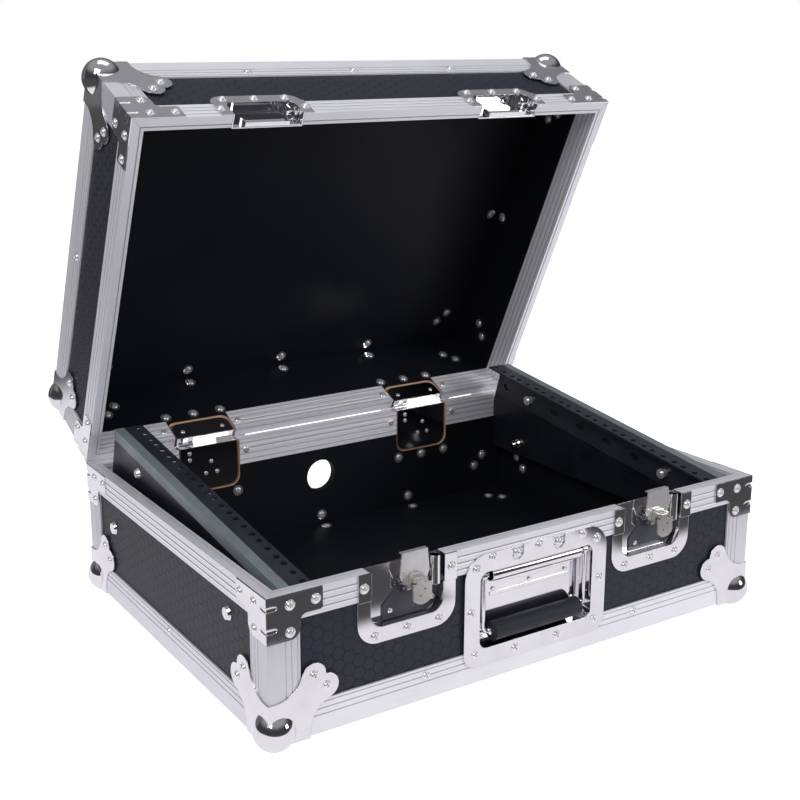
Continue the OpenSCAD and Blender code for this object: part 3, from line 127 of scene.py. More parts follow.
class Finish:
    """A material, with short ways to add and join its nodes. Linked sockets keep a plain value too."""

    def __init__(self, name, colour=(0.5, 0.5, 0.5), metallic=0.0, roughness=0.5, specular=None):
        self.material = bpy.data.materials.new(name)
        self.material.use_nodes = True
        self.tree = self.material.node_tree
        self.shader = self.tree.nodes["Principled BSDF"]
        self.shader.inputs["Base Color"].default_value = (*colour, 1)
        self.shader.inputs["Metallic"].default_value = metallic
        self.shader.inputs["Roughness"].default_value = roughness
        self.feed(self.shader.inputs["Specular IOR Level"], specular)

    def node(self, kind, **settings):
        made = self.tree.nodes.new(kind)
        for key, value in settings.items():
            setattr(made, key, value)
        return made

    def feed(self, socket, value):
        if isinstance(value, bpy.types.NodeSocket):
            self.tree.links.new(value, socket)
        elif value is not None:
            socket.default_value = value

    def math(self, kind, *values):
        made = self.node("ShaderNodeMath", operation=kind)
        for socket, value in zip(made.inputs, values):
            self.feed(socket, value)
        return made.outputs[0]

    def plus(self, a, b):
        return self.math("ADD", a, b)

    def minus(self, a, b):
        return self.math("SUBTRACT", a, b)

    def times(self, a, b):
        return self.math("MULTIPLY", a, b)

    def larger(self, a, b):
        return self.math("MAXIMUM", a, b)

    def smaller(self, a, b):
        return self.math("MINIMUM", a, b)

    def absolute(self, a):
        return self.math("ABSOLUTE", a)

    def blend(self, factor, a, b):
        """Number that goes from a to b as the factor goes from 0 to 1."""
        return self.plus(self.times(factor, self.minus(b, a)), a)

    def place(self):
        return self.node("ShaderNodeTexCoord").outputs["Object"]

    def case_place(self, lid):
        """Where a point is on the closed case, in metres."""
        place = self.place()
        if not lid:
            return place
        turned = self.node("ShaderNodeVectorRotate", rotation_type="X_AXIS")
        self.feed(turned.inputs["Vector"], place)
        turned.inputs["Center"].default_value = HINGE
        turned.inputs["Angle"].default_value = LID_OPEN
        return turned.outputs[0]

    def split(self, vector):
        made = self.node("ShaderNodeSeparateXYZ")
        self.feed(made.inputs[0], vector)
        return made.outputs[0], made.outputs[1], made.outputs[2]

    def scaled(self, vector, factors):
        made = self.node("ShaderNodeVectorMath", operation="MULTIPLY")
        self.feed(made.inputs[0], vector)
        self.feed(made.inputs[1], factors)
        return made.outputs[0]

    def noise(self, vector, scale, detail, roughness=0.5):
        made = self.node("ShaderNodeTexNoise")
        self.feed(made.inputs["Vector"], vector)
        made.inputs["Scale"].default_value = scale
        made.inputs["Detail"].default_value = detail
        made.inputs["Roughness"].default_value = roughness
        return made.outputs["Fac"]

    def ramp(self, value, low, high, to_low=0.0, to_high=1.0):
        made = self.node("ShaderNodeMapRange")
        self.feed(made.inputs["Value"], value)
        ease(made, low, high, to_low, to_high)
        return made.outputs["Result"]

    def within(self, value, low, high):
        """1 below the low bound and 0 above the high one."""
        return self.ramp(value, low, high, 1.0, 0.0)

    def stripe(self, distance, fade):
        """1 on a line and 0 beside it. It fades between two half-widths."""
        return self.within(self.absolute(distance), *fade)

    def mix(self, factor, a, b):
        made = self.node("ShaderNodeMix", data_type="RGBA")
        self.feed(made.inputs["Factor"], factor)
        for key, value in (("A", a), ("B", b)):
            socket = next(s for s in made.inputs if s.name == key and s.type == "RGBA")
            self.feed(socket, (*value, 1) if isinstance(value, tuple) else value)
        return next(s for s in made.outputs if s.type == "RGBA")

    def bump(self, height, distance, strength=1.0, after=None):
        made = self.node("ShaderNodeBump")
        self.feed(made.inputs["Height"], height)
        made.inputs["Distance"].default_value = distance
        made.inputs["Strength"].default_value = strength
        self.feed(made.inputs["Normal"], after)
        return made.outputs[0]

    def rounded(self, radius):
        """Normal that eases over the sharp edges, as folded and pressed sheet does."""
        made = self.node("ShaderNodeBevel", samples=4)
        made.inputs["Radius"].default_value = radius
        return made.outputs[0]

    def finished(self, colour, rough, normal):
        self.feed(self.shader.inputs["Base Color"], colour)
        self.feed(self.shader.inputs["Roughness"], rough)
        self.feed(self.shader.inputs["Normal"], normal)
        return self.material


def wall_distances(f, x, y, z, lid):
    """How far a point is inside the nearest side, the nearest end and the closed face, in metres."""
    side = f.minus(HALF_WIDTH, f.absolute(x))
    end = f.smaller(f.minus(y, FRONT), f.minus(REAR, y))
    closed = f.minus(RIM_HEIGHT + LID_HEIGHT, z) if lid else f.minus(z, FLOOR_GAP)
    return side, end, closed


# Laminated plywood

# The side sheet is lighter than the front one: painted light from the side
SIDE_SHEET_PAINTED_LIGHT = (0.046, 0.046, 0.051)
FRONT_SHEET = (0.023, 0.0255, 0.038)
DARK_SHEET = (0.015, 0.017, 0.0255)
INSIDE_SHEETS = ((0.0040, 0.0046, 0.0070), (0.0062, 0.0070, 0.0100))
DARK_PLY = (0.52, 0.31, 0.20)
PALE_PLY = (0.78, 0.54, 0.38)
CUT_ROUGHNESS = 0.75


def hexagons(f, u, v, size):
    """Distance from a point to the edge of its hexagon, from 0 at the edge to 0.5 in the middle."""
    root = math.sqrt(3)
    u = f.math("DIVIDE", u, size)
    v = f.math("DIVIDE", v, size)

    def cell(shift_u, shift_v):
        a = f.minus(f.math("FLOORED_MODULO", f.plus(u, shift_u), 1.0), 0.5)
        b = f.minus(f.math("FLOORED_MODULO", f.plus(v, shift_v), root), root / 2)
        return a, b, f.plus(f.times(a, a), f.times(b, b))

    a0, b0, far0 = cell(0.0, 0.0)
    a1, b1, far1 = cell(0.5, root / 2)
    first = f.math("LESS_THAN", far0, far1)
    second = f.minus(1.0, first)
    a = f.absolute(f.plus(f.times(a0, first), f.times(a1, second)))
    b = f.absolute(f.plus(f.times(b0, first), f.times(b1, second)))
    slanted = f.plus(f.times(a, 0.5), f.times(b, root / 2))
    return f.minus(0.5, f.larger(a, slanted))


def plywood(f, place, depth):
    """Cut edge of the panel: its plies run parallel to the faces, seven of them through the wall."""
    ply = f.math("SINE", f.times(depth, 2 * math.pi * PLY_WAVES / PANEL))
    fibre = f.noise(place, scale=720.0, detail=4.0, roughness=0.6)
    return f.mix(f.ramp(f.plus(ply, f.times(fibre, 0.8)), -0.6, 1.0), DARK_PLY, PALE_PLY)


def in_cable_hole(f, x, z):
    """1 around the cable hole, whose wall is painted, and 0 elsewhere."""
    across = f.minus(x, CABLE_HOLE[0])
    up = f.minus(z, CABLE_HOLE[2])
    from_middle = f.math("SQRT", f.plus(f.times(across, across), f.times(up, up)))
    return f.within(from_middle, HOLE_PAINT, HOLE_PAINT + 1 * MM)


def laminate(name, facing, lid):
    """Plywood panel: hexagon-embossed outside, smooth and semi-gloss inside, tan plies on its cut edges."""
    f = Finish(name, specular=0.22)
    place = f.case_place(lid)
    x, y, z = f.split(place)
    side, end, closed = wall_distances(f, x, y, z, lid)
    depth = f.smaller(f.smaller(side, end), closed)
    outside = f.within(depth, EDGE_SKIN + 0.1 * MM, EDGE_SKIN + 0.3 * MM)
    inside = f.ramp(depth, WALL_IN - 0.3 * MM, WALL_IN - 0.1 * MM)
    u, v = {"front": (z, x), "side": (z, y), "flat": (x, y)}[facing]
    face = f.ramp(hexagons(f, u, v, HEXAGON), 0.0, 0.10)
    grain = f.noise(place, scale=900.0, detail=3.0, roughness=0.6)
    speck = f.noise(place, scale=2600.0, detail=2.0, roughness=0.6)
    patches = f.ramp(f.noise(place, scale=38.0, detail=2.0), 0.35, 0.65)
    smudge = f.noise(place, scale=9.0, detail=3.0, roughness=0.55)

    # Side panels take the lighter sheet, which is painted light
    sheet = f.mix(grain, DARK_SHEET, SIDE_SHEET_PAINTED_LIGHT if facing == "side" else FRONT_SHEET)
    line = f.mix(patches, dimmed(DARK_SHEET, 0.55), dimmed(DARK_SHEET, 0.92))
    inner = f.mix(smudge, *INSIDE_SHEETS)
    cut = f.mix(f.larger(inside, in_cable_hole(f, x, z)), plywood(f, place, depth), inner)
    colour = f.mix(outside, cut, f.mix(face, line, sheet))

    outer_rough = f.ramp(speck, 0.2, 0.8, 0.42, 0.56)
    inner_rough = f.ramp(smudge, 0.3, 0.7, 0.46, 0.56)
    rough = f.blend(outside, f.blend(inside, CUT_ROUGHNESS, inner_rough), outer_rough)

    pressed = f.bump(f.times(face, outside), 0.28 * MM, 0.7)
    pebbled = f.bump(f.times(grain, outside), 0.05 * MM, 0.6, pressed)
    return f.finished(colour, rough, pebbled)


# Aluminium extrusions

ALUMINIUM = ((0.725, 0.715, 0.765), (0.80, 0.79, 0.84))
PLAIN_ALUMINIUM = (0.70, 0.70, 0.725)
# Corner posts are darkened by this factor: painted shade
POST_PAINTED_SHADE = 0.8
# Colour of the painted highlight on the lips of the rim grooves
LIP_PAINTED_HIGHLIGHT = (0.93, 0.925, 0.95)
# Colour of the painted light on the inner legs of the rims
INNER_LEG_PAINTED_LIGHT = (0.95, 0.93, 0.98)
# Colour of the painted shade in grooves, rib valleys and on the mouth line
SHADE = (0.20, 0.195, 0.21)
DIE_LINE_ALONG = 3.0
DIE_LINE_ACROSS = 420.0

# How dark the painted shade is on the mouth line and in the grooves of a rim channel
LID_SHADES = (0.6, 0.85)
BASE_SHADES = (0.3, 0.6)

# How dark the painted shade is in the ribs inside and in the grooves of the edge angles
RIB_SHADE = 0.42
EDGE_SHADE = 0.45


def die_lines(f, place, along):
    """Fine streaks of the die, stretched along a run."""
    factors = tuple(DIE_LINE_ALONG if axis == along else DIE_LINE_ACROSS for axis in "xyz")
    return f.noise(f.scaled(place, factors), scale=1.6, detail=4.0, roughness=0.65)


def rim_marks(f, depth, mouth, lid):
    """Where a rim channel has painted shade, painted highlights on its groove lips, or its inner leg. Mouth
    is how far the rim plane is.
    """
    mouth_shade, groove_shade = LID_SHADES if lid else BASE_SHADES
    at_mouth = f.within(mouth, *LEG_SKIN)
    mouth_line = f.times(f.stripe(f.minus(depth, MOUTH_LINE), MOUTH_FADE), at_mouth)
    shade = f.times(mouth_line, mouth_shade)
    outer_leg = f.within(depth, EDGE_SKIN, EDGE_SKIN + 0.2 * MM)
    lip_highlights = []
    for step in RIM_GROOVES:
        past = f.minus(mouth, step)
        groove = f.times(f.stripe(past, GROOVE_FADE), outer_leg)
        shade = f.larger(shade, f.times(groove, groove_shade))
        lip_highlights.append(f.times(f.stripe(f.minus(past, LIP_HIGHLIGHT_OFFSET), LIP_HIGHLIGHT_FADE), outer_leg))
    lip_highlight = f.larger(f.larger(lip_highlights[0], lip_highlights[1]), lip_highlights[2])
    inner_leg = f.ramp(depth, WALL_IN + 0.6 * MM, WALL_IN + 0.8 * MM)
    inner_leg = f.times(inner_leg, f.minus(1.0, at_mouth))
    wave = f.math("SINE", f.times(mouth, 2 * math.pi / INNER_RIB))
    valley = f.times(f.within(wave, -1.0, -0.2), inner_leg)
    shade = f.larger(shade, f.times(valley, RIB_SHADE))
    return shade, lip_highlight, inner_leg


def aluminium(name, along, lid):
    """Satin extrusion: die lines along each run, painted shade in the grooves of its legs and on the corner
    posts, painted highlights on the groove lips and painted light on the inner legs.
    """
    f = Finish(name, PLAIN_ALUMINIUM, metallic=0.5, roughness=0.42)
    place = f.case_place(lid)
    x, y, z = f.split(place)
    side, end, closed = wall_distances(f, x, y, z, lid)
    if along == "ring":
        at_end = f.math("LESS_THAN", end, side)
        streaks = f.blend(at_end, die_lines(f, place, "y"), die_lines(f, place, "x"))
    else:
        streaks = die_lines(f, place, along)
    cloud = f.noise(place, scale=14.0, detail=3.0)
    tone = f.plus(f.times(streaks, 0.45), f.times(cloud, 0.55))
    # Painted shade: the corner posts are darker
    painted_shade_factor = POST_PAINTED_SHADE if along == "z" else 1.0
    metal = f.mix(f.ramp(tone, 0.3, 0.7), *(dimmed(colour, painted_shade_factor) for colour in ALUMINIUM))
    relief = f.rounded(0.35 * MM)
    if along in ("x", "y"):
        depth = end if along == "x" else side
        mouth = f.absolute(f.minus(z, RIM_HEIGHT))
        shade, lip_highlight, inner_leg = rim_marks(f, depth, mouth, lid)
        # Painted highlight on the groove lips
        metal = f.mix(lip_highlight, metal, LIP_PAINTED_HIGHLIGHT)
        # Painted light on the inner leg
        metal = f.mix(inner_leg, metal, INNER_LEG_PAINTED_LIGHT)
        # Painted shade in the grooves, the rib valleys and on the mouth line
        metal = f.mix(shade, metal, SHADE)
        relief = f.bump(f.minus(1.0, shade), 0.4 * MM, 0.8, relief)
    if along == "ring":
        across = f.smaller(end, side)
        for reach, skin in ((closed, across), (across, closed)):
            on_skin = f.within(skin, *LEG_SKIN)
            for step in EDGE_GROOVES:
                groove = f.times(f.stripe(f.minus(reach, step), GROOVE_FADE), on_skin)
                # Painted shade in the grooves of the edge angles
                metal = f.mix(f.times(groove, EDGE_SHADE), metal, SHADE)
    rough = f.ramp(streaks, 0.3, 0.7, 0.36, 0.48)
    return f.finished(metal, rough, f.bump(streaks, 0.015 * MM, 0.4, relief))


# Plated, coated and rubber finishes


def plated(name, light, dark, rough, ripple=0.02, edge=0.0, metallic=1.0):
    """Plated steel, with faint handling marks and slight waves. Ripple and edge are in millimetres."""
    f = Finish(name, light, metallic=metallic, roughness=rough[0])
    place = f.place()
    marks = f.noise(place, scale=24.0, detail=3.0, roughness=0.55)
    fine = f.noise(f.scaled(place, (400.0, 60.0, 120.0)), scale=3.0, detail=3.0, roughness=0.6)
    wear = f.plus(f.times(marks, 0.7), f.times(fine, 0.3))
    wave = f.noise(place, scale=16.0, detail=1.0, roughness=0.4)
    relief = f.bump(wave, ripple * MM, after=f.rounded(edge * MM) if edge else None)
    colour = f.mix(f.ramp(marks, 0.35, 0.7), light, dark)
    return f.finished(colour, f.ramp(wear, 0.3, 0.7, *rough), relief)


def painted(name, light, dark, rough, orange_peel):
    """Coated steel, with the fine dimples of the coat, whose depth is in millimetres."""
    f = Finish(name, light, roughness=rough[0])
    place = f.place()
    cloud = f.noise(place, scale=26.0, detail=3.0, roughness=0.55)
    peel = f.noise(place, scale=1500.0, detail=2.0)
    colour = f.mix(f.ramp(cloud, 0.3, 0.7), light, dark)
    return f.finished(colour, f.ramp(cloud, 0.3, 0.7, *rough), f.bump(peel, orange_peel * MM, 0.6))


def rubber(name):
    """Matt grip, with a fine grain."""
    f = Finish(name, (0.020, 0.022, 0.027), roughness=0.55, specular=0.35)
    place = f.place()
    cloud = f.noise(place, scale=60.0, detail=3.0)
    grain = f.noise(place, scale=1400.0, detail=3.0, roughness=0.6)
    colour = f.mix(cloud, (0.010, 0.0115, 0.0155), (0.017, 0.019, 0.025))
    return f.finished(colour, f.ramp(cloud, 0.3, 0.7, 0.5, 0.64), f.bump(grain, 0.06 * MM, 0.6))


CHROME = plated("bright_chrome", (0.83, 0.815, 0.85), (0.76, 0.75, 0.785), (0.045, 0.09), 0.045, edge=0.6)
NICKEL = plated("nickel", (0.71, 0.685, 0.65), (0.60, 0.58, 0.55), (0.2, 0.28), metallic=0.82)
ZINC = plated("zinc_plate", (0.80, 0.785, 0.80), (0.70, 0.685, 0.70), (0.16, 0.28), 0.05, metallic=0.75)
RIVET = plated("rivet_plate", (0.88, 0.87, 0.90), (0.82, 0.81, 0.84), (0.13, 0.20), metallic=0.72)
WASHER = plated("washer_plate", (0.86, 0.85, 0.88), (0.80, 0.79, 0.82), (0.09, 0.15), metallic=0.9)
BOLT = plated("black_zinc", (0.16, 0.165, 0.18), (0.11, 0.115, 0.13), (0.26, 0.4), edge=0.3)
DARK = painted("dark_steel", (0.036, 0.038, 0.047), (0.044, 0.046, 0.056), (0.24, 0.28), 0.01)
POWDER = painted("powder_black", (0.017, 0.019, 0.024), (0.024, 0.027, 0.033), (0.34, 0.46), 0.05)
CAP = painted("cap_grey", (0.15, 0.175, 0.19), (0.12, 0.142, 0.156), (0.3, 0.42), 0.04)
BOARD = painted("board_black", (0.0062, 0.0070, 0.0100), (0.0095, 0.0105, 0.0140), (0.26, 0.38), 0.02)


def dress(material, *names):
    for name in names:
        mesh = frame["nodes"][name].data
        mesh.materials.clear()
        mesh.materials.append(material)


def dress_box(body, closed):
    """Gives the box of the base or the lid its finishes. Closed is the face across from its mouth."""
    lid = body == "lid"
    dress(laminate(f"laminate_front_{body}", "front", lid), f"{body}_front_panel", f"{body}_rear_panel")
    dress(laminate(f"laminate_side_{body}", "side", lid), f"{body}_left_panel", f"{body}_right_panel")
    dress(laminate(f"laminate_flat_{body}", "flat", lid), f"{body}_{closed}_panel")
    dress(aluminium(f"aluminium_ring_{body}", "ring", lid), f"{body}_{closed}_edges")
    dress(aluminium(f"aluminium_x_{body}", "x", lid), f"{body}_rim_front", f"{body}_rim_rear")
    dress(aluminium(f"aluminium_y_{body}", "y", lid), f"{body}_rim_left", f"{body}_rim_right")
    dress(aluminium(f"aluminium_z_{body}", "z", lid), f"{body}_corner_edges")


dress_box("base", "bottom")
dress_box("lid", "top")
dress(BOARD, "side_board_left", "side_board_right")
dress(POWDER, "rack_rail_left", "rack_rail_right")
dress(CAP, "board_caps")
dress(DARK, "latch_backplates")
dress(BOLT, "board_spacers")
dress(RIVET, "rail_bolts")
dress(WASHER, "base_washers", "lid_washers")
dress(NICKEL, "latch_boss_left", "latch_boss_right", "latch_wing_left", "latch_wing_right", "stay_plates")
dress(ZINC, "latch_tongue_left", "latch_tongue_right")
dress(rubber("grip_rubber"), "handle_grip")
dress(CHROME, "base_braces", "lid_braces", "base_ball_corners", "lid_ball_corners")
dress(CHROME, "base_rivets", "lid_rivets")
dress(CHROME, "latch_dishes", "latch_tubes", "latch_pins", "keeper_dishes", "keeper_brackets", "board_bolts")
dress(CHROME, "handle_dish", "handle_cover", "handle_rod", "handle_springs", "handle_bail")
dress(CHROME, "hinge_base_dishes", "hinge_lid_dishes", "hinge_pins")


# Smooth rivets in place of the plain ones

RIVET_SIDES = 28

# Radii and outline of a standard rivet in millimetres, which is scaled to the head that the source gives
RIVET_HEAD = 4.6
RIVET_SHANK = 2.0

# Radius and height of the hollow left by the mandrel, of the dome, of the step and of the thin rim
RIVET_OUTLINE = ((0.0, 1.5), (0.45, 1.46), (0.7, 1.3), (0.78, 0.9), (0.95, 0.9),
                 (1.02, 1.7), (1.12, 2.0), (1.32, 2.16), (1.7, 2.18), (2.2, 2.04), (2.75, 1.75), (3.2, 1.34),
                 (3.45, 0.9), (3.52, 0.62), (3.62, 0.5), (3.8, 0.46),
                 (4.15, 0.46), (4.4, 0.42), (4.55, 0.3), (4.6, 0.14), (4.6, 0.0))

# Shares of the head's radius and of the length that tell its rim and its tail from the rest
RIM_SHARE = 0.97
TAIL_SHARE = 0.55

# A tail wider than the shank by this factor is clinched, and ends in a dome of this share of its radius
CLINCHED = 1.3
TAIL_DOME = 0.43

# Bends sharper than this stay sharp, in degrees
SHARP_ANGLE = 38


def solids_of(name, lid):
    """Vertex places of each separate solid of a CAD node, with the lid's turned back to closed."""
    mesh = bmesh.new()
    mesh.from_mesh(frame["nodes"][name].data)
    bmesh.ops.remove_doubles(mesh, verts=mesh.verts, dist=1e-6)
    turn = CLOSE_LID if lid else Matrix.Identity(4)
    todo = set(mesh.verts)
    found = []
    while todo:
        queue = [todo.pop()]
        solid = []
        while queue:
            vert = queue.pop()
            solid.append(turn @ vert.co)
            for edge in vert.link_edges:
                other = edge.other_vert(vert)
                if other in todo:
                    todo.remove(other)
                    queue.append(other)
        found.append(np.array(solid))
    mesh.free()
    return sorted(found, key=lambda c: tuple(np.round(c.mean(0), 5)))


def fastener_frame(points):
    """Direction out of the head, seat of the head, length under it, head radius and tail radius."""
    low, high = points.min(0), points.max(0)
    size = high - low
    axis = min(range(3), key=lambda k: abs(size[(k + 1) % 3] - size[(k + 2) % 3]))
    middle = (low + high) / 2
    across = [k for k in range(3) if k != axis]
    radial = np.linalg.norm(points[:, across] - middle[across], axis=1)
    head = radial.max()
    rim = points[radial > RIM_SHARE * head][:, axis]
    above = high[axis] - rim.max()
    below = rim.min() - low[axis]
    out = 1 if above < below else -1
    seat = middle.copy()
    seat[axis] = rim.min() if out > 0 else rim.max()
    length = below if out > 0 else above
    tail = 0.0
    far = points[np.abs(points[:, axis] - seat[axis]) > TAIL_SHARE * length]
    if len(far):
        tail = np.linalg.norm(far[:, across] - middle[across], axis=1).max()
    direction = Vector([out if k == axis else 0 for k in range(3)])
    return direction, Vector(seat), length, head, tail


def lathe(profile, sides):
    """Closed surface of revolution about Z from (radius, height) pairs that start and end on the axis."""
    verts = [(0.0, 0.0, profile[0][1])]
    for r, z in profile[1:-1]:
        for i in range(sides):
            turn = 2 * math.pi * i / sides
            verts.append((r * math.cos(turn), r * math.sin(turn), z))
    verts.append((0.0, 0.0, profile[-1][1]))
    faces = []
    rings = len(profile) - 2
    for i in range(sides):
        j = (i + 1) % sides
        faces.append((0, 1 + j, 1 + i))
        for ring in range(rings - 1):
            a = 1 + ring * sides
            b = a + sides
            faces.append((a + i, a + j, b + j, b + i))
        last = 1 + (rings - 1) * sides
        faces.append((last + i, last + j, len(verts) - 1))
    return np.array(verts), faces


def rivet_profile(head, length, tail):
    """Ringed head and plain shank, with a clinched end where the rivet has one."""
    k = head / RIVET_HEAD
    top = [(r * k, z * k) for r, z in RIVET_OUTLINE]
    shank = RIVET_SHANK * k
    if tail > CLINCHED * shank:
        dome = TAIL_DOME * tail
        under = length - dome
        low = [(shank, 0.0), (shank, -under), (tail, -under), (tail, -under - 0.3 * dome),
               (0.86 * tail, -under - 0.68 * dome), (0.6 * tail, -under - 0.92 * dome), (0.0, -length)]
    else:
        low = [(shank, 0.0), (shank, -length), (0.0, -length)]
    return top + low


def smooth_rivets(name, body):
    lid = body == "lid"
    verts = []
    faces = []
    start = 0
    for points in solids_of(name, lid):
        direction, seat, length, head, tail = fastener_frame(points)
        shape, quads = lathe(rivet_profile(head, length, tail), RIVET_SIDES)
        spin = direction.to_track_quat("Z", "Y").to_matrix().to_4x4()
        matrix = np.array(stands(lid) @ Matrix.Translation(seat) @ spin)
        placed = shape @ matrix[:3, :3].T + matrix[:3, 3]
        verts.append(placed)
        faces += [tuple(start + i for i in face) for face in quads]
        start += len(placed)
    mesh = bpy.data.meshes.new(name + "_domed")
    mesh.from_pydata(np.concatenate(verts).tolist(), [], faces)
    finish_piece(mesh, body, RIVET, "chrome_steel", name)


def shade_smooth(mesh, sharp_degrees):
    for face in mesh.polygons:
        face.use_smooth = True
    mesh.set_sharp_from_angle(angle=math.radians(sharp_degrees))


def finish_piece(mesh, body, material, slot, *stands_for):
    """Object of the mesh, on its body, in place of the named CAD nodes. The slot is not used."""
    mesh.materials.append(material)
    fixed = bmesh.new()
    fixed.from_mesh(mesh)
    bmesh.ops.recalc_face_normals(fixed, faces=fixed.faces)
    fixed.to_mesh(mesh)
    fixed.free()
    shade_smooth(mesh, SHARP_ANGLE)
    made = bpy.data.objects.new(mesh.name, mesh)
    bpy.context.scene.collection.objects.link(made)
    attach(made, body)
    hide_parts(*stands_for)
    return made


smooth_rivets("base_rivets", "base")
smooth_rivets("lid_rivets", "lid")


# Corner braces with the two dents pressed into each bend

DENT_REACH = 10.5 * MM
DENT_HALF_HEIGHT = 2.4 * MM
DENT_DEPTH = 0.9 * MM
DENT_DROPS = (9.5 * MM, 28.5 * MM)
DENT_SIDES = 20
DENT_STEPS = 14
DENT_TIP = 0.04
DENT_SHARP_ANGLE = 34
FLAT = 0.9999


def capsule():
    """Closed rounded bar about Z = 0, bent at a right angle: along +X from the corner, and along +Y."""
    verts = []
    for step in range(DENT_STEPS + 1):
        t = -1 + 2 * step / DENT_STEPS
        along = DENT_REACH * abs(t)
        swell = max(math.sqrt(max(0.0, 1 - abs(t) ** 5)), DENT_TIP)
        spot = Vector((along, 0, 0)) if t < 0 else Vector((0, along, 0))
        out = Vector((0, -1, 0)) if t < 0 else Vector((-1, 0, 0))
        if abs(t) < 1e-9:
            out = Vector((-1, -1, 0))
        for i in range(DENT_SIDES):
            turn = 2 * math.pi * i / DENT_SIDES
            rise = DENT_HALF_HEIGHT * swell * math.sin(turn)
            verts.append(spot + out * (DENT_DEPTH * swell * math.cos(turn)) + Vector((0, 0, rise)))
    last = DENT_STEPS * DENT_SIDES
    faces = [tuple(range(DENT_SIDES)), tuple(range(last, last + DENT_SIDES))]
    for a in range(0, last, DENT_SIDES):
        b = a + DENT_SIDES
        for i in range(DENT_SIDES):
            j = (i + 1) % DENT_SIDES
            faces.append((a + i, a + j, b + j, b + i))
    return verts, faces


def dent_cutters(name, low, high, lid):
    """One object with both dents of all four bends, from the corners of the box around the braces."""
    cutters = bmesh.new()
    verts, faces = capsule()
    for sx in (-1, 1):
        for sy in (-1, 1):
            corner = Vector((low[0] if sx < 0 else high[0], low[1] if sy < 0 else high[1], 0))
            for drop in DENT_DROPS:
                corner.z = low[2] + drop if lid else high[2] - drop
                places = (stands(lid) @ (corner + Vector((-sx * v.x, -sy * v.y, v.z))) for v in verts)
                made = [cutters.verts.new(place) for place in places]
                for face in faces:
                    cutters.faces.new([made[i] for i in face])
    bmesh.ops.recalc_face_normals(cutters, faces=cutters.faces)
    mesh = bpy.data.meshes.new(name + "_dents")
    cutters.to_mesh(mesh)
    cutters.free()
    tool = bpy.data.objects.new(mesh.name, mesh)
    bpy.context.scene.collection.objects.link(tool)
    return tool


def dented_braces(name, body):
    lid = body == "lid"
    back = stands(lid).inverted()
    mesh = frame["nodes"][name].data.copy()
    mesh.name = name + "_pressed"
    mesh.materials.clear()
    places = np.array([back @ v.co for v in mesh.vertices])
    tool = dent_cutters(name, places.min(0), places.max(0), lid)
    made = finish_piece(mesh, body, CHROME, "chrome_steel", name)
    cut = made.modifiers.new("dents", "BOOLEAN")
    cut.object = tool
    cut.operation = "DIFFERENCE"
    cut.solver = "EXACT"
    bpy.context.view_layer.update()
    baked = bpy.data.meshes.new_from_object(made.evaluated_get(bpy.context.evaluated_depsgraph_get()))
    made.modifiers.clear()
    made.data = baked
    bpy.data.objects.remove(tool)
    shade_smooth(baked, DENT_SHARP_ANGLE)
    # Faces that look straight along an axis of the closed case stay flat
    for face in baked.polygons:
        if max(abs(part) for part in back.to_3x3() @ face.normal) > FLAT:
            face.use_smooth = False


dented_braces("base_braces", "base")
dented_braces("lid_braces", "lid")


# Floor: pale to the eye, and in polished metal white near the case and dim beyond

FLOOR_REACH = 12.0
FLOOR_GLOW = 0.64
MIRRORED_DIM = 0.075
MIRRORED_BRIGHT = 0.93
TABLE_FRONT = -0.418
TABLE_BACK = 0.95
TABLE_LEFT = -0.85
TABLE_RIGHT = 0.95
PALE_GAP = (0.03, 0.27)


def floor():
    r = FLOOR_REACH
    mesh = bpy.data.meshes.new("floor")
    mesh.from_pydata([(-r, -r, 0), (r, -r, 0), (r, r, 0), (-r, r, 0)], [], [(0, 1, 2, 3)])
    made = bpy.data.objects.new("floor", mesh)
    bpy.context.scene.collection.objects.link(made)
    f = Finish("floor_white", (0.80, 0.80, 0.80), roughness=0.9, specular=0.0)
    path = f.node("ShaderNodeLightPath")
    seen = f.larger(path.outputs["Is Camera Ray"], path.outputs["Is Transmission Ray"])
    f.shader.inputs["Emission Color"].default_value = (1, 1, 1, 1)
    f.feed(f.shader.inputs["Emission Strength"], f.times(seen, FLOOR_GLOW))

    def step_up(value, at, fade):
        return f.ramp(value, at - fade, at + fade)

    def step_down(value, at, fade):
        return f.within(value, at - fade, at + fade)

    place = f.place()
    x, y = f.split(place)[:2]
    uneven = f.times(f.minus(f.noise(place, scale=5.0, detail=1.0, roughness=0.4), 0.5), 0.03)
    front = step_up(f.plus(y, uneven), TABLE_FRONT, 0.022)
    gap = f.times(step_up(x, PALE_GAP[0], 0.03), step_down(x, PALE_GAP[1], 0.03))
    near_front = f.ramp(y, TABLE_FRONT - 0.14, TABLE_FRONT - 0.09)
    front = f.larger(front, f.times(gap, near_front))
    depth = f.times(front, step_down(y, TABLE_BACK, 0.2))
    width = f.times(step_up(x, TABLE_LEFT, 0.2), step_down(x, TABLE_RIGHT, 0.1))
    mirrored = f.node("ShaderNodeEmission")
    mirrored.inputs["Color"].default_value = (0.985, 0.965, 1.0, 1)
    f.feed(mirrored.inputs["Strength"],
           f.ramp(f.times(depth, width), 0.0, 1.0, MIRRORED_DIM, MIRRORED_BRIGHT))
    choose = f.node("ShaderNodeMixShader")
    f.feed(choose.inputs[0], path.outputs["Is Glossy Ray"])
    f.feed(choose.inputs[1], f.shader.outputs[0])
    f.feed(choose.inputs[2], mirrored.outputs[0])
    f.feed(f.tree.nodes["Material Output"].inputs["Surface"], choose.outputs[0])
    made.data.materials.append(f.material)


# Surroundings: white to the eye, and in polished metal a dim room with a grey ceiling

DAYLIGHT = 0.62

# How far up or back a direction points where each starts to brighten and is full, and its strength there
CEILING = (0.35, 0.75, 0.05, 0.34)
BACK_WALL = (0.35, 0.85, 0.0, 0.16)


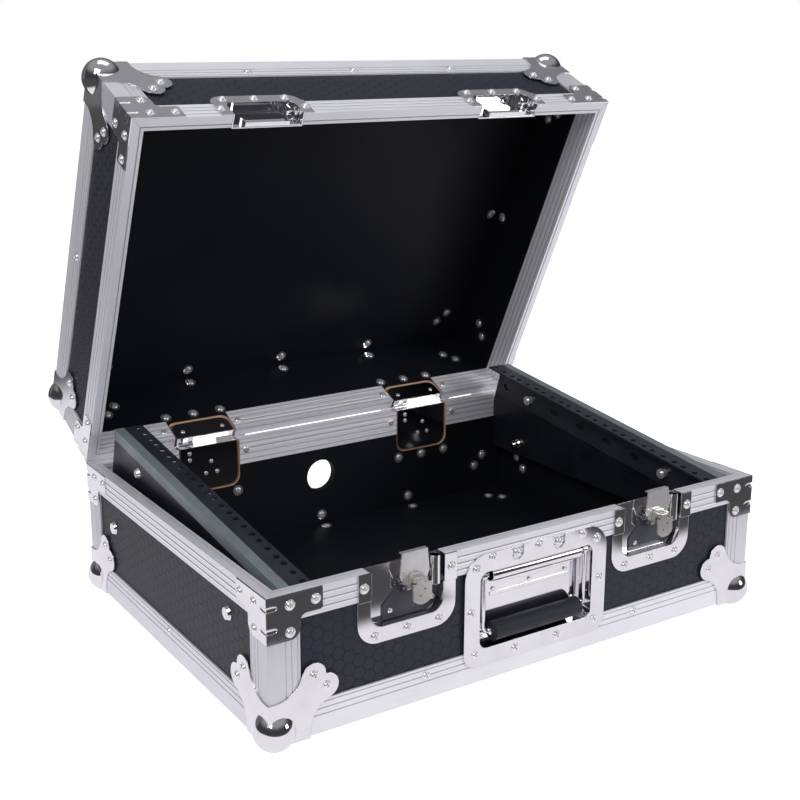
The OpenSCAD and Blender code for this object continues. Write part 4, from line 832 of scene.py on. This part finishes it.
def world():
    scene_world = bpy.data.worlds.new("studio")
    bpy.context.scene.world = scene_world
    scene_world.use_nodes = True
    tree = scene_world.node_tree
    tree.nodes.clear()
    link = tree.links.new

    def background(colour, strength):
        made = tree.nodes.new("ShaderNodeBackground")
        made.inputs["Color"].default_value = (*colour, 1)
        made.inputs["Strength"].default_value = strength
        return made

    def smooth(value, numbers):
        made = tree.nodes.new("ShaderNodeMapRange")
        link(value, made.inputs["Value"])
        ease(made, *numbers)
        return made.outputs["Result"]

    def larger(a, b):
        made = tree.nodes.new("ShaderNodeMath")
        made.operation = "MAXIMUM"
        link(a, made.inputs[0])
        link(b, made.inputs[1])
        return made.outputs[0]

    def choose(factor, a, b):
        made = tree.nodes.new("ShaderNodeMixShader")
        link(factor, made.inputs[0])
        link(a.outputs[0], made.inputs[1])
        link(b.outputs[0], made.inputs[2])
        return made

    lit = background((0.94, 0.95, 1.0), DAYLIGHT)
    seen = background((1, 1, 1), 1.0)
    room = background((0.96, 0.96, 1.0), 1.0)
    way = tree.nodes.new("ShaderNodeSeparateXYZ")
    link(tree.nodes.new("ShaderNodeTexCoord").outputs["Generated"], way.inputs[0])
    ceiling = smooth(way.outputs["Z"], CEILING)
    wall = smooth(way.outputs["Y"], BACK_WALL)
    link(larger(ceiling, wall), room.inputs["Strength"])
    path = tree.nodes.new("ShaderNodeLightPath")
    to_the_eye = larger(path.outputs["Is Camera Ray"], path.outputs["Is Transmission Ray"])
    unseen = choose(path.outputs["Is Glossy Ray"], lit, room)
    out = tree.nodes.new("ShaderNodeOutputWorld")
    link(choose(to_the_eye, unseen, seen).outputs[0], out.inputs["Surface"])


# Lamps and camera

LAMP_TARGET = Vector((0, 0, 0.2))

CAMERA_PLACE = (-0.69686, -1.05895, 0.55690)

# Tilt up from looking straight down, roll and heading, in degrees
CAMERA_TURN = (76.1745, 0.3481, -31.5326)

# Sensor and lens in millimetres, and the shift as a share of the picture
CAMERA_SENSOR = 36.0
CAMERA_LENS = 56.54
CAMERA_SHIFT = (0.0667, -0.0497)


def lamp(name, place, size, power, mirrored=True):
    """Area lamp that looks at the case. Polished metal doesn't show it where mirrored is False."""
    data = bpy.data.lights.new(name, "AREA")
    data.shape = "RECTANGLE"
    data.size, data.size_y = size
    data.energy = power
    made = bpy.data.objects.new(name, data)
    made.location = place
    made.visible_glossy = mirrored
    made.rotation_euler = (LAMP_TARGET - Vector(place)).to_track_quat("-Z", "Y").to_euler()
    bpy.context.scene.collection.objects.link(made)


def camera():
    data = bpy.data.cameras.new("camera")
    data.sensor_width = CAMERA_SENSOR
    data.lens = CAMERA_LENS
    data.shift_x, data.shift_y = CAMERA_SHIFT
    data.clip_end = 100
    made = bpy.data.objects.new("camera", data)
    turn = Euler([math.radians(angle) for angle in CAMERA_TURN]).to_matrix().to_4x4()
    made.matrix_world = Matrix.Translation(CAMERA_PLACE) @ turn
    bpy.context.scene.collection.objects.link(made)
    bpy.context.scene.camera = made


floor()
world()
lamp("key", (-1.7, -1.1, 1.9), (1.2, 1.2), 27)
lamp("fill", (1.7, -1.9, 0.9), (1.2, 1.2), 30, mirrored=False)
lamp("glint", (1.5, -1.7, 0.82), (0.6, 0.6), 6)
lamp("top", (0.2, 0.3, 2.6), (1.6, 1.2), 7)
camera()
bpy.context.scene.view_settings.view_transform = "Standard"
